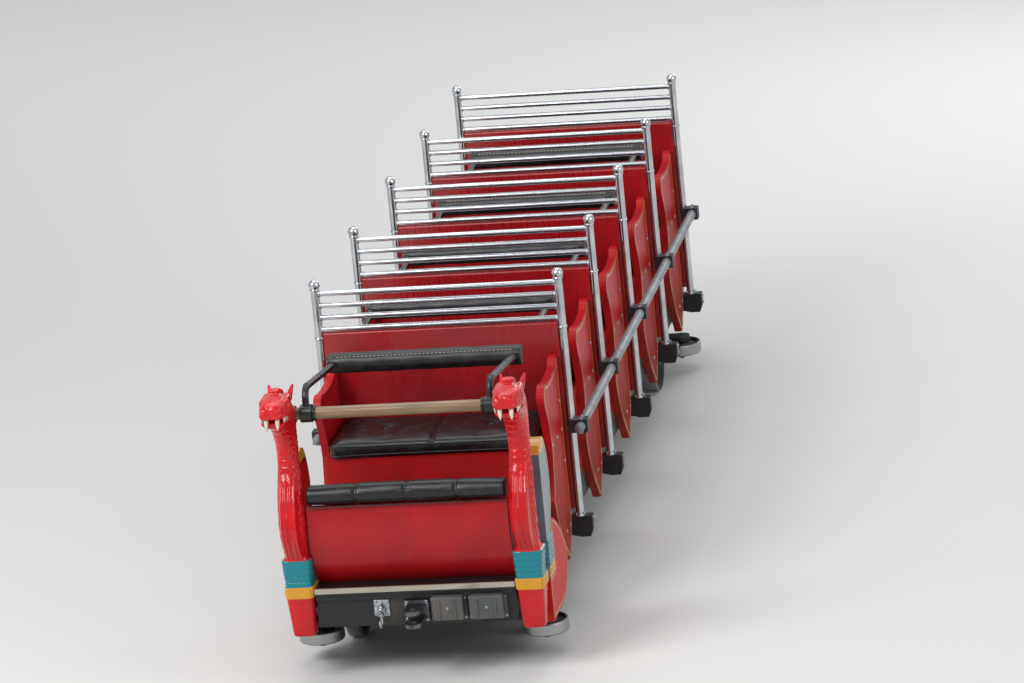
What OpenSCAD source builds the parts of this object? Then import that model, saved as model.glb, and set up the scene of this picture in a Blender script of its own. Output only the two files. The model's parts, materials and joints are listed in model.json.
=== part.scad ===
// Side-friction coaster car: five ladder-backed benches on a steel underframe, a rolled dash
// between two carved figureheads, and a hinged lap bar for each row.
// Millimetres. X to the right, Y to the rear, Z up. Z = 0 is where the wheels stand.

/* [Rows] */
// Distance from one row to the next
row_pitch = 820; // [800:5:900]
// Nose line to the first ladder frame
first_post = 980; // [960:5:1100]
// Last ladder frame to the tail of the deck
tail_len = 200; // [160:5:300]
// Gap between a bench end and the ladder post beside it
post_side = 14; // [10:1:24]

/* [Deck and underframe] */
// Top of the floor planks above the rail
deck_top = 350; // [345:1:400]
// Thickness of the floor planks
deck_t = 30; // [24:1:34]
// Width of one floor plank
plank_w = 118; // [90:1:160]
// Height of the centre sills
sill_h = 85; // [70:1:95]
// Width of a centre sill
sill_w = 60; // [50:1:70]
// Distance between the centres of the two centre sills
sill_gauge = 460; // [440:2:470]
// Depth of the outer rails and of the cross bearers
bearer_h = 70; // [55:1:80]
// Width of a cross bearer
bearer_w = 44; // [36:1:46]
// Thickness of an outer rail
outer_rail_t = 28; // [20:1:30]
// Height of the headstocks at both ends
headstock_h = 105; // [90:1:110]
// Gap between a running wheel and the outer rail beside it
wheel_side = 9; // [6:1:14]
// Wedge shoe under a ladder post, down from the top of the steel
shoe_h = 84; // [72:1:100]

/* [Running gear] */
// Radius of a running wheel
wheel_r = 155; // [145:1:158]
// Width of a running wheel
wheel_w = 58; // [44:1:60]
// Distance between the middles of the left and right treads
wheel_gauge = 700; // [690:1:710]
// Radius of an axle
axle_r = 25; // [20:0.5:30]
// Nose line to the front axle
front_axle = 570; // [560:5:600]
// Last ladder frame to the rear axle, forwards
rear_axle_back = 410; // [380:5:430]
// Radius of a guide wheel
guide_r = 88; // [70:1:95]
// Thickness of a guide wheel
guide_t = 50; // [40:1:55]
// Height of the middle of a guide wheel
guide_z = 108; // [100:1:112]
// Distance between the left and right guide wheel pins
guide_gauge = 870; // [850:2:890]
// Axle to the guide wheel pin, along the car
guide_lead = 292; // [280:2:300]

/* [Benches] */
// Seat board height above the deck
seat_h = 350; // [320:2:380]
// Depth of the seat, back panel to front edge
seat_depth = 405; // [380:5:430]
// Thickness of the bench boards
board_t = 25; // [18:1:30]
// Thickness of the bench end boards
end_t = 30; // [22:1:32]
// Height of the arm above the deck
arm_h = 598; // [560:2:640]
// Bottom of a bench end above the rail
end_bottom = 185; // [175:1:230]
// Thickness of a seat cushion
cushion_t = 70; // [40:1:90]
// Top of a back panel above the deck
back_h = 755; // [700:5:780]
// Thickness of a back panel
back_t = 22; // [16:1:24]

/* [Ladder frames] */
// Radius of a ladder post
post_r = 16; // [13:0.5:18]
// Radius of a ladder rung
rung_r = 11; // [8:0.5:13]
// Number of rungs over the back panel
rungs = 4; // [3:1:5]
// Distance from rung to rung
rung_pitch = 48; // [44:1:54]
// Radius of the ball on a post
ball_r = 22; // [19:0.5:28]
// Radius of a side rail
side_rail_r = 19; // [15:0.5:21]
// Height of a side rail above the deck
side_rail_h = 335; // [300:5:380]

/* [Nose] */
// Roll radius of the dash
dash_r = 360; // [345:5:420]
// Top of the dash above the rail
dash_top = 690; // [670:2:720]
// Thickness of the dash
dash_t = 22; // [16:1:28]
// Height of the pale nosing under the dash
nosing_h = 25; // [18:1:30]
// Height of the roll on the dash
pad_h = 76; // [60:1:80]
// Depth of the roll on the dash
pad_d = 96; // [84:1:110]
// Height of the figureheads
figure_h = 1000; // [980:5:1020]
// Width of a figurehead's foot
figure_w = 116; // [110:1:120]
// Depth of a figurehead's foot
figure_d = 132; // [120:1:136]
// Foot of a figurehead above the rail
figure_z = 185; // [175:1:195]
// Foot of a figurehead past the edge of the deck, inwards
figure_lap = 37; // [34:1:40]
// Reach of the figureheads' muzzles past the nose line
muzzle_reach = 168; // [150:2:180]
// Depth of the painted post behind a figurehead
nose_post_d = 176; // [160:2:190]
// Height of the painted post above its figurehead's foot
nose_post_h = 695; // [660:5:710]
// Length of the shield board behind a figurehead
cheek_len = 402; // [370:2:430]
// Thickness of the shield board
cheek_t = 30; // [22:1:32]
// Nose line to the grab bar
grab_back = 52; // [46:1:58]
// Radius of the grab bar
grab_r = 23; // [18:0.5:24]

/* [Lap bars] */
// Height of the lap bar pivots above the deck
pivot_h = 695; // [680:5:705]
// Radius of a pivot tube behind a ladder
pivot_r = 14; // [12:0.5:16]
// Pivot tube behind its ladder frame
pivot_back = 48; // [44:1:60]
// Lap pad in front of its ladder frame
pad_lead = 350; // [320:5:380]
// Radius of a lap pad
pad_r = 37; // [28:1:40]
// Radius of a lap bar arm
arm_r = 13; // [10:0.5:15]

/* [Couplings] */
// Reach of the front clevis past the nose line
clevis_reach = 112; // [104:1:140]
// Reach of the drawbar past the tail
drawbar_reach = 190; // [160:5:220]
// Radius of a coupling pin hole
coupling_r = 15; // [12:0.5:18]

/* [Hidden] */
$fn = 48;

rest = 0.3;      // gap between a curved or soft piece and its seat
run = 0.06;      // radial clearance of a shaft in its bore
side_gap = 5;    // least gap beside a piece that turns
rows = 5;

wheel_face = 4;  // hub face proud of the tread
rail_in = wheel_gauge / 2 + wheel_w / 2 + wheel_face + wheel_side;   // inner face of an outer rail
half_deck = rail_in + outer_rail_t;
deck_w = 2 * half_deck;
post_x = half_deck + end_t + post_side + post_r;

body_len = first_post + (rows - 1) * row_pitch + tail_len;
front_reach = max(muzzle_reach, clevis_reach);
overall = front_reach + body_len + drawbar_reach;
y_nose = front_reach - overall / 2;
y_tail = y_nose + body_len;
function post_y(i) = y_nose + first_post + i * row_pitch;

deck_z = deck_top - deck_t;          // underside of the planks, top of the steel
front_axle_y = y_nose + front_axle;
rear_axle_y = post_y(rows - 1) - rear_axle_back;
sill_x = sill_gauge / 2;
sill_in = sill_x - sill_w / 2;
sill_out = sill_x + sill_w / 2;
wheel_x = wheel_gauge / 2;
guide_x = guide_gauge / 2;
headstock_t = 60;
headstock_s = 20;                    // nose line to the front headstock
deck_s = 146;                        // nose line to the front edge of the planks
sill_z = deck_z - sill_h;
end_gap = 3;                         // bench end to the bearer behind it
end_rear = -bearer_w / 2 - end_gap;  // rear edge of a bench end, from the post line
pivot_z = deck_top + pivot_h;
grab_y = y_nose + grab_back;
figure_x = half_deck + figure_w / 2 - figure_lap;
figure_in = figure_x - figure_w / 2;
foot_front = -20;                    // front face of a figurehead's foot, from the nose line
foot_rear = foot_front + figure_d;

module mirrored() { children(); mirror([1, 0, 0]) children(); }
// A cylinder along X from x0 to x1
module rod_x(r, x0, x1) { translate([x0, 0, 0]) rotate([0, 90, 0]) cylinder(r = r, h = x1 - x0); }
// A profile in the Y-Z plane, t thick, its low X face at x0
module side_profile(x0, t) { translate([x0, 0, 0]) rotate([90, 0, 90]) linear_extrude(t) children(); }
function arc(c, r, a0, a1, n) = [for (k = [0:n]) let (a = a0 + (a1 - a0) * k / n) c + r * [cos(a), sin(a)]];
// A curved stretch from p to q that stands h proud of the chord on its right-hand side, or hollow if h < 0
function bow(p, q, h, n) = let (c = norm(q - p), r = (c * c / 4 + h * h) / (2 * h), u = (q - p) / c,
    m = (p + q) / 2 + [u.y, -u.x] * (h - r), a = atan2(p.y - m.y, p.x - m.x), b = atan2(q.y - m.y, q.x - m.x),
    d = (b - a + 540) % 360 - 180) [for (k = [0:n]) m + abs(r) * [cos(a + d * k / n), sin(a + d * k / n)]];

// Underframe
// A piece of steel across the car, from x0 to x1, flush with the top of the frame
module cross_piece(x0, x1, y, w, h) { translate([x0, y - w / 2, deck_z - h]) cube([x1 - x0, w, h]); }
// A cross bearer in lengths welded between the sills and rails, with a wedge shoe under each ladder post
module bearer(y) {
    tip = post_x + post_r + 32;
    cross_piece(-sill_in, sill_in, y, bearer_w, bearer_h);
    mirrored() {
        cross_piece(sill_out, rail_in, y, bearer_w, bearer_h);
        translate([0, y + bearer_w / 2, 0]) rotate([90, 0, 0]) linear_extrude(bearer_w)
            polygon([[half_deck, deck_z], [half_deck, deck_z - bearer_h], [post_x, deck_z - shoe_h],
                [tip - 10, deck_z - shoe_h], [tip, deck_z - shoe_h + 26], [tip, deck_z]]);
    }
}
dog_y = front_axle_y + 900;
pawl_y = dog_y + 420;
dog_z = deck_z - bearer_h - 52;
dog_w = 40;
dog_pin_r = 10;
ear_t = 12;
module ears() {
    mirrored() difference() {
        union() {
            side_profile(dog_w / 2 + 1, ear_t) polygon([[-26, 52 + bearer_h], [26, 52 + bearer_h], [26, 0], [-26, 0]]);
            translate([dog_w / 2 + 1, 0, 0]) rotate([0, 90, 0]) cylinder(r = 26, h = ear_t);
        }
        rod_x(dog_pin_r + run, 0, 60);
    }
}
rails_y0 = y_nose + deck_s + 44;         // the outer rails start behind the front cross piece
module chassis_frame() {
    color("#1c1d20") mirrored() {
        translate([sill_in, y_nose + headstock_s + headstock_t, sill_z])
            cube([sill_w, body_len - headstock_s - 2 * headstock_t, sill_h]);
        translate([rail_in, rails_y0, deck_z - bearer_h])
            cube([outer_rail_t, y_tail - headstock_t - rails_y0, bearer_h]);
    }
}
module cross_bearers() {
    color("#1e1f22") {
        for (i = [0:rows - 1]) bearer(post_y(i));
        // headstocks, and the front cross piece under the edge of the planks
        translate([-figure_in + rest, y_nose + headstock_s, deck_z - headstock_h])
            cube([2 * (figure_in - rest), headstock_t, headstock_h]);
        translate([-half_deck, y_tail - headstock_t, deck_z - headstock_h])
            cube([deck_w, headstock_t, headstock_h]);
        front_y = y_nose + deck_s + 24;
        cross_piece(-sill_in, sill_in, front_y, 40, bearer_h);
        mirrored() {
            cross_piece(sill_out, half_deck, front_y, 40, bearer_h);
            // outrigger that carries the shield board
            cross_piece(half_deck, cheek_in - rest, y_nose + foot_rear + cheek_len - 90, 60, 40);
        }
        for (y = [front_axle_y + 190, rear_axle_y - 190]) cross_piece(-sill_in, sill_in, y, 50, bearer_h);
        for (y = [dog_y, pawl_y]) {
            cross_piece(-sill_in, sill_in, y, 80, bearer_h);
            translate([0, y, dog_z]) ears();
        }
    }
}
box_w = sill_w;
module axle_boxes() {
    color("#2a2b2e") for (y = [front_axle_y, rear_axle_y]) mirrored()
        translate([sill_x, y, 0]) difference() {
            union() {
                side_profile(-box_w / 2, box_w)
                    polygon([[-90, sill_z], [90, sill_z], [90, sill_z - 14], [58, sill_z - 30], [50, wheel_r - 18],
                        [-50, wheel_r - 18], [-58, sill_z - 30], [-90, sill_z - 14]]);
                translate([0, 0, wheel_r]) rod_x(52, -box_w / 2, box_w / 2);
            }
            translate([0, 0, wheel_r]) rod_x(axle_r + run, -box_w, box_w);
        }
}
guide_pin_r = 14;
guide_spots = [[-1, front_axle_y - guide_lead], [1, front_axle_y - guide_lead],
    [-1, rear_axle_y + guide_lead], [1, rear_axle_y + guide_lead]];
bracket_z = guide_z + guide_t / 2 + 6;   // underside of a guide bracket
module guide_brackets() {
    color("#26272a") for (g = guide_spots) translate([g[0] * guide_x, g[1], 0]) {
        translate([0, 0, bracket_z]) cylinder(r = 42, h = 22);
        // the arm runs in to the centre sill
        mirror([g[0] < 0 ? 1 : 0, 0, 0]) translate([sill_x - sill_w / 2 - guide_x, -36, bracket_z]) {
            cube([guide_x - sill_x + sill_w / 2, 72, 22]);
            cube([sill_w, 72, sill_z - bracket_z]);
        }
        translate([0, 0, guide_z - guide_t / 2 - 5]) cylinder(r = guide_pin_r, h = guide_t + 16);
        translate([0, 0, guide_z - guide_t / 2 - 10]) cylinder(r = guide_pin_r + 8, h = 10);
    }
}
module guide_wheel(k) {
    color("#3a3b3e") translate([guide_spots[k][0] * guide_x, guide_spots[k][1], guide_z])
        rotate_extrude() polygon([[guide_pin_r + run, -guide_t / 2 + 1], [44, -guide_t / 2 + 1], [50, -guide_t / 2 + 12],
            [guide_r - 16, -guide_t / 2 + 12], [guide_r - 12, -guide_t / 2 + 1], [guide_r - 4, -guide_t / 2 + 1],
            [guide_r, -guide_t / 2 + 6], [guide_r, guide_t / 2 - 6], [guide_r - 4, guide_t / 2 - 1],
            [guide_r - 12, guide_t / 2 - 1], [guide_r - 16, guide_t / 2 - 12], [50, guide_t / 2 - 12],
            [44, guide_t / 2 - 1], [guide_pin_r + run, guide_t / 2 - 1]]);
}
module wheel() {
    difference() {
        rotate([0, 90, 0]) rotate_extrude() polygon([[0, -wheel_w / 2 - wheel_face], [48, -wheel_w / 2 - wheel_face], [54, -10], [wheel_r - 26, -8],
            [wheel_r - 20, -wheel_w / 2], [wheel_r - 3, -wheel_w / 2], [wheel_r, -wheel_w / 2 + 4], [wheel_r, wheel_w / 2 - 4],
            [wheel_r - 3, wheel_w / 2], [wheel_r - 20, wheel_w / 2], [wheel_r - 26, 8], [54, 10],
            [48, wheel_w / 2 + wheel_face], [0, wheel_w / 2 + wheel_face]]);
        for (a = [0:60:300]) rotate([a, 0, 0]) translate([0, 0, 92]) rod_x(24, -wheel_w, wheel_w);
    }
}
module wheelset(y) {
    color("#303236") translate([0, y, wheel_r]) {
        mirrored() translate([wheel_x, 0, 0]) wheel();
        rod_x(axle_r, -wheel_x, wheel_x);
    }
}

// Floor
deck_y = y_nose + deck_s;
module floor_deck() {
    color("#4a3a2c") difference() {
        translate([-half_deck + rest, deck_y, deck_z]) cube([deck_w - 2 * rest, y_tail - deck_y, deck_t]);
        for (x = [-floor(half_deck / plank_w) * plank_w : plank_w : half_deck - 20])
            translate([x - 2, deck_y - 1, deck_top - 5]) cube([4, y_tail - deck_y + 2, 6]);
    }
}

// Nose
nosing_z = deck_top - 5;             // underside of the pale nosing
dash_foot = nosing_z + nosing_h;
dash_cy = y_nose + dash_r;
dash_cz = dash_top - 85;
module dash_sill() {
    half = figure_in - rest;
    color("#b9b2a4") {
        translate([-half, y_nose + 8, deck_z]) cube([2 * half, deck_s - rest - 8, nosing_z - deck_z]);
        translate([-half, y_nose - 6, nosing_z]) cube([2 * half, deck_s - rest + 6, nosing_h]);
    }
}
module nose_dash() {
    color("#a5141b") intersection() {
        difference() {
            translate([0, dash_cy, dash_cz]) rod_x(dash_r, -figure_in + rest, figure_in - rest);
            translate([0, dash_cy, dash_cz]) rod_x(dash_r - dash_t, -figure_in, figure_in);
        }
        translate([-figure_in, y_nose - 1, dash_foot]) cube([2 * figure_in, dash_r, dash_top - dash_foot]);
    }
}
module dash_pad() {
    r = pad_h / 2;
    color("#17181a") translate([0, y_nose - 8 + r, dash_top + rest + r]) {
        rod_x(r, -figure_in + 2, figure_in - 2);
        translate([0, pad_d - 2 * r, 0]) rod_x(r, -figure_in + 2, figure_in - 2);
        translate([-figure_in + 2, 0, -r]) cube([2 * figure_in - 4, pad_d - 2 * r, pad_h]);
    }
}
nose_post_y = y_nose + foot_rear + rest;
nose_out = figure_x + figure_w / 2;
cheek_in = nose_out - cheek_t;
shield_s = 116;                      // front edge of the shield board's top, behind the post's front face
band_z = 155;                        // gold band, above the foot of a figurehead
// Outline of the painted post, from its own front face and the foot of the figurehead: bulged at the back, round on top
module post_outline() {
    top = nose_post_h;
    polygon(concat([[0, 76], [shield_s, 76]], bow([shield_s, top - 350], [nose_post_d - 48, top - 34], 54, 10),
        bow([nose_post_d - 52, top - 28], [0, top - 56], 34, 8)));
}
// Outline of the shield board, from the same point
module shield_outline() {
    tip = [cheek_len, 121];
    polygon(concat([[0, -14]], [[cheek_len - 212, -14]], bow([cheek_len - 150, -10], tip, 28, 6),
        bow(tip, [cheek_len - 40, 200], 10, 5), bow([cheek_len - 46, 206], [shield_s, 360], 20, 8),
        [[shield_s, band_z], [0, band_z]]));
}
module nose_posts() {
    color("#56707c") mirrored() translate([0, nose_post_y, figure_z]) {
        side_profile(half_deck, cheek_in - rest - half_deck) post_outline();
        // the outer board stands over the shield board
        side_profile(cheek_in - rest, cheek_t + rest) difference() {
            post_outline();
            offset(delta = rest) shield_outline();
        }
    }
}
module nose_cheeks() {
    color("#b3161d") mirrored() translate([0, nose_post_y, figure_z]) side_profile(cheek_in, cheek_t) shield_outline();
}

// Carved figureheads
// Rings from the foot up the chest and neck and out along the head. z and y are the middle of a ring, above the
// foot and behind the nose line, hx and hy its half width and half depth, tilt how far it leans back from level,
// power how square it is (2 is an ellipse) and flute how deep its flutes are
ring_z = 0; ring_y = 1; ring_hx = 2; ring_hy = 3; ring_tilt = 4; ring_power = 5; ring_flute = 6;
FOOT = [[0, 47, 41, 46, 0, 5, 0], [10, 47, 44, 50, 0, 5, 0], [153, 46, 53, 62, 0, 6, 0],
    [155, 46, 56, 64, 0, 6, 0], [164, 46, 58, 66, 0, 6, 0], [190, 46, 58, 66, 0, 6, 0], [199, 46, 56, 64, 0, 6, 0]];
ridges = 5; ridge_pitch = 21;
BAND = [for (k = [0:ridges - 1]) each let (z = 200 + ridge_pitch * k, w = 52 + 1.4 * k)
    [[z, 46, w - 3, 60, 0, 6, 0], [z + 4, 46, w, 64, 0, 6, 0], [z + 17, 46, w + 1, 65, 0, 6, 0]]];
CHEST = [[306, 44, 50, 60, 0, 3.5, 0], [318, 36, 47, 58, 0, 2.6, 0.04], [350, 20, 48, 66, 0, 2.2, 0.08],
    [395, 6, 48.5, 76, 0, 2.1, 0.1], [440, 0, 48.5, 78, 0, 2.1, 0.1], [490, 4, 48, 74, 0, 2.1, 0.09],
    [545, 16, 47, 64, 0, 2.1, 0.08], [600, 34, 45, 52, 0, 2.1, 0.06], [650, 50, 43, 44, 4, 2.1, 0.03]];
HEAD = [[700, 57, 42, 42, 8, 2.1, 0], [750, 55, 43, 46, 16, 2.1, 0], [800, 44, 46, 54, 30, 2.2, 0],
    [845, 24, 50, 62, 46, 2.3, 0], [880, -8, 54, 66, 62, 2.4, 0], [903, -44, 57, 66, 76, 2.6, 0],
    [910, -80, 56, 62, 86, 2.8, 0], [910, -112, 53, 57, 90, 3, 0], [910, -140, 48, 51, 90, 3, 0],
    [911, -158, 40, 43, 90, 2.6, 0], [912, -168, 26, 28, 90, 2.2, 0]];
FN = 24;                             // points round a ring
FLUTES = 6;
function sharp(v, p) = sign(v) * pow(abs(v), 2 / p);
function ring(s) = [for (k = [0:FN - 1]) let (a = 360 * k / FN, f = 1 + s[ring_flute] * cos(FLUTES * a),
    u = f * sharp(cos(a), s[ring_power]) * s[ring_hx], v = f * sharp(sin(a), s[ring_power]) * s[ring_hy])
    [u, s[ring_y] + v * cos(s[ring_tilt]), s[ring_z] + v * sin(s[ring_tilt])]];
module loft(rings) {
    n = len(rings); m = FN;
    polyhedron(points = [for (r = rings) each ring(r)], faces = concat(
        [[for (k = [0:m - 1]) k]],
        [for (j = [0:n - 2]) for (k = [0:m - 1]) each [[j * m + k, (j + 1) * m + k, (j + 1) * m + (k + 1) % m],
            [j * m + k, (j + 1) * m + (k + 1) % m, j * m + (k + 1) % m]]],
        [[for (k = [m - 1:-1:0]) (n - 1) * m + k]]), convexity = 6);
}
// The carving is drawn at one size, and grown from that to the figurehead's own width, depth, height and reach
drawn_w = 116; drawn_d = 132; drawn_h = 1000; drawn_reach = 168;
grow_x = figure_w / drawn_w;
grow_z = figure_h / drawn_h;
function grow_y(y) = y < 0 ? y * muzzle_reach / drawn_reach : y * figure_d / drawn_d;
function on(p) = [p.x * grow_x, grow_y(p.y), p.z * grow_z];
function on_side(points) = [for (q = points) [grow_y(q.x), q.y * grow_z]];
function grown(rings) = [for (r = rings) [r[ring_z] * grow_z, grow_y(r[ring_y]), r[ring_hx] * grow_x,
    r[ring_hy] * figure_d / drawn_d, r[ring_tilt], r[ring_power], r[ring_flute]]];
crest_t = 36 * grow_x;
// Back of the neck from the shoulder over the crown to the brow: the crest is scalloped between these points
CREST = [[98, 590], [108, 650], [110, 715], [106, 780], [92, 842], [66, 898], [30, 946], [-14, 978], [-62, 984]];
mane_d = 9;
module crest() {
    side_profile(-crest_t / 2, crest_t)
        polygon(on_side(concat([for (k = [0:len(CREST) - 2]) each bow(CREST[k], CREST[k + 1], mane_d, 4)],
            [[-60, 930], [0, 900], [55, 800], [60, 590]])));
}
module figurehead() {
    gape = [-60, 893];               // corner of the mouth
    front = -drawn_reach - 32;
    wide = figure_w + 44;
    color("#d8141c") translate([0, y_nose, figure_z]) {
        difference() {
            union() {
                loft(concat(grown(FOOT), grown(BAND), grown(CHEST), grown(HEAD)));
                crest();
            }
            // open mouth, the lower jaw shorter than the muzzle
            side_profile(-wide / 2, wide) polygon(on_side([gape, [front, 906], [front, 876], [-90, 884]]));
            side_profile(-wide / 2, wide) polygon(on_side([[-138, 890], [front, 890], [front, 800], [-128, 800]]));
        }
        mirrored() {
            // brow, ear and fang
            hull() {
                translate(on([38, -24, 952])) sphere(r = 14, $fn = 16);
                translate(on([44, -104, 948])) sphere(r = 10, $fn = 16);
            }
            hull() {
                translate(on([32, 22, 930])) sphere(r = 15, $fn = 16);
                translate(on([45, 60, 972])) sphere(r = 5, $fn = 16);
            }
            hull() {
                translate(on([21, -150, 900])) sphere(r = 8, $fn = 16);
                translate(on([21, -154, 858])) sphere(r = 3, $fn = 16);
            }
            translate(on([46, -64, 926])) sphere(r = 14);
        }
        // boss for the grab bar
        translate([0, grab_back, pivot_z - figure_z]) rod_x(32, -figure_w / 2 + 8, 0);
    }
}
module figurehead_right() { translate([figure_x, 0, 0]) figurehead(); }
module figurehead_left() { mirror([1, 0, 0]) figurehead_right(); }
grab_end = figure_in + 8 - rest;
module grab_bar() {
    color("#8b6f50") translate([0, grab_y, pivot_z]) rod_x(grab_r, -grab_end, grab_end);
}

// Benches
seat_z = deck_top + seat_h;
// Outline of a bench end, from the post line: wing and arm, scrolled front, waist at the seat, leaf-shaped foot
module end_outline() {
    arm_z = deck_top + arm_h;
    front = -seat_depth + 26;
    waist = [front + 72, seat_z - 6];
    leaf = [front + 16, seat_z - 215];
    toe = [end_rear - 118, end_bottom];
    polygon(concat([[end_rear, deck_z]], [[end_rear, arm_z + 26]],
        bow([end_rear - 8, arm_z + 34], [end_rear - 58, arm_z + 6], 8, 4),
        bow([end_rear - 70, arm_z], [front + 74, arm_z - 8], -9, 6),
        bow([front + 62, arm_z - 4], [front + 6, arm_z - 86], 34, 9),
        bow([front + 8, arm_z - 92], waist, -12, 5), bow(waist, leaf, -9, 5),
        bow(leaf, [toe.x - 44, toe.y + 34], 24, 8), bow([toe.x - 42, toe.y + 30], [toe.x + 42, toe.y + 30], 29, 8),
        bow([toe.x + 44, toe.y + 34], [end_rear, deck_z], 8, 4)));
}
riser_y = -seat_depth + 30;
module bench(i) {
    color("#b3161d") translate([0, post_y(i), 0]) {
        mirrored() side_profile(half_deck, end_t) end_outline();
        // riser and seat board
        translate([-half_deck - 1, riser_y, deck_top]) cube([deck_w + 2, board_t, seat_h]);
        translate([-half_deck - 1, riser_y, seat_z - board_t])
            cube([deck_w + 2, -riser_y - back_t / 2 - rest, board_t]);
    }
}
module seat_cushions() {
    r = cushion_t / 2;
    color("#1d1e20") for (i = [0:rows - 1]) translate([0, post_y(i), seat_z + rest + r]) {
        translate([0, -seat_depth + r, 0]) rod_x(r, -half_deck + 4, half_deck - 4);
        translate([-half_deck + 4, -seat_depth + r, -r])
            cube([deck_w - 8, seat_depth - r - back_t / 2 - 2, cushion_t]);
    }
}
back_x = post_x - post_r - rest;
module seat_back(i) {
    color("#9c1219") translate([0, post_y(i), deck_top]) {
        translate([-back_x, -back_t / 2, 0]) cube([2 * back_x, back_t, back_h - back_t / 2]);
        translate([0, 0, back_h - back_t / 2]) rod_x(back_t / 2, -back_x, back_x);
    }
}

// Ladder frames and side rails
rung_z = deck_top + back_h + rung_r + 1;
post_top = rung_z + (rungs - 1) * rung_pitch + rung_r + 8;
module ladder(i) {
    color("#b8bcc2") translate([0, post_y(i), 0]) {
        mirrored() translate([post_x, 0, 0]) {
            translate([0, 0, deck_z]) cylinder(r = post_r, h = post_top - deck_z);
            translate([0, 0, deck_z]) cylinder(r = post_r + 10, h = 8);
            translate([0, 0, post_top + ball_r - 6]) sphere(r = ball_r);
            // lug for the pivot tube of the row behind
            if (i < rows - 1) {
                translate([-post_r, back_t / 2 + rest, pivot_z - 20]) cube([12, pivot_back - back_t / 2 - rest, 40]);
                translate([0, pivot_back, pivot_z]) rod_x(20, -post_r, 12 - post_r);
            }
        }
        for (j = [0:rungs - 1]) translate([0, 0, rung_z + j * rung_pitch]) rod_x(rung_r, -post_x, post_x);
        if (i < rows - 1) translate([0, pivot_back, pivot_z]) rod_x(pivot_r, -post_x + post_r - 6, post_x - post_r + 6);
    }
}
rail_x = post_x + post_r + 4 + side_rail_r;
rail_z = deck_top + side_rail_h;
module side_rails() {
    color("#9aa0a6") mirrored() translate([rail_x, post_y(0) - 60, rail_z]) {
        rotate([-90, 0, 0]) cylinder(r = side_rail_r, h = (rows - 1) * row_pitch + 120);
        sphere(r = side_rail_r);
        translate([0, (rows - 1) * row_pitch + 120, 0]) sphere(r = side_rail_r);
    }
}
module rail_clamps() {
    color("#2b2d30") for (i = [0:rows - 1]) mirrored() difference() {
        translate([post_x - post_r / 2, post_y(i) - 26, rail_z - 26])
            cube([rail_x + side_rail_r + 8 - post_x + post_r / 2, 52, 52]);
        translate([post_x, post_y(i), rail_z - 40]) cylinder(r = post_r + run, h = 80);
        translate([rail_x, post_y(i) - 40, rail_z]) rotate([-90, 0, 0]) cylinder(r = side_rail_r + run, h = 80);
    }
}

// Lap bars
lap_x = figure_in - 32;          // middle of a lap bar sleeve
sleeve_w = 44;
pad_half = lap_x + 26;           // half length of a lap pad
// A tube in the Y-Z plane from the origin to (y, z), starting a distance off
module reach_to(y, z, off) {
    rotate([atan2(z, y) - 90, 0, 0]) translate([0, 0, off]) cylinder(r = arm_r, h = norm([y, z]) - off);
}
// A lap bar with straight arms: p radius of the bar it turns on, d reach to the pad, up pad over pivot
module straight_lap_bar(p, d, up) {
    color("#1a1b1d") {
        mirrored() translate([lap_x, 0, 0]) {
            difference() {
                rod_x(p + 11, -sleeve_w / 2, sleeve_w / 2);
                rod_x(p + run, -sleeve_w, sleeve_w);
            }
            reach_to(d, up, p + 5);
        }
        translate([0, d, up]) rod_x(pad_r, -pad_half, pad_half);
    }
}
// A lap bar with arched arms: h is the height of the arch, and the rest as above
module lap_bar(p, d, h, up) {
    color("#1a1b1d") {
        mirrored() translate([lap_x, 0, 0]) {
            difference() {
                rod_x(p + 11, -sleeve_w / 2, sleeve_w / 2);
                rod_x(p + run, -sleeve_w, sleeve_w);
            }
            // neck of the arm, its bend and its run to the pad, with a bead of weld between them
            bend = 46;
            difference() {
                cylinder(r = arm_r, h = h - bend);
                rod_x(p + run + 2, -sleeve_w, sleeve_w);
            }
            translate([0, bend, h - bend]) rotate([90, 0, 90]) rotate([0, 0, 90])
                rotate_extrude(angle = 90) translate([bend, 0]) circle(r = arm_r);
            translate([0, bend, h]) sphere(r = arm_r + 1.5);
            translate([0, bend, h]) reach_to(d - bend, up - h, 0);
        }
        translate([0, d, up]) rod_x(pad_r, -pad_half, pad_half);
    }
}
pad_y = row_pitch - pad_lead - pivot_back;
module lap_bar_at(i) {
    if (i == 0) translate([0, grab_y, pivot_z]) lap_bar(grab_r, post_y(0) - pad_lead - grab_y, 92, 30);
    else translate([0, post_y(i - 1) + pivot_back, pivot_z]) straight_lap_bar(pivot_r, pad_y, 16);
}

// Couplings and safety gear
coupling_z = deck_z - headstock_h / 2;
module front_clevis() {
    t = 16; gap = 34; w = 64;
    color("#8e9298") translate([0, y_nose + 20, coupling_z]) difference() {
        union() {
            translate([-w / 2 - 14, -14, -42]) cube([w + 28, 14, 84]);
            for (z = [-gap / 2 - t, gap / 2]) translate([0, 0, z]) {
                translate([-w / 2, -clevis_reach - 20 + w / 2, 0]) cube([w, clevis_reach + 20 - w / 2, t]);
                translate([0, -clevis_reach - 20 + w / 2, 0]) cylinder(r = w / 2, h = t);
            }
        }
        translate([0, -clevis_reach - 20 + w / 2, -60]) cylinder(r = coupling_r, h = 120);
    }
}
module drawbar_rear() {
    t = 30; w = 70;
    color("#3a3c40") translate([0, y_tail, coupling_z]) difference() {
        union() {
            translate([-60, 0, -46]) cube([120, 16, 92]);
            translate([-w / 2, 0, -t / 2]) cube([w, drawbar_reach - w / 2, t]);
            translate([0, drawbar_reach - w / 2, -t / 2]) cylinder(r = w / 2, h = t);
        }
        translate([0, drawbar_reach - w / 2, -t]) cylinder(r = coupling_r, h = 2 * t);
    }
}
dog_reach = 130;
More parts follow.
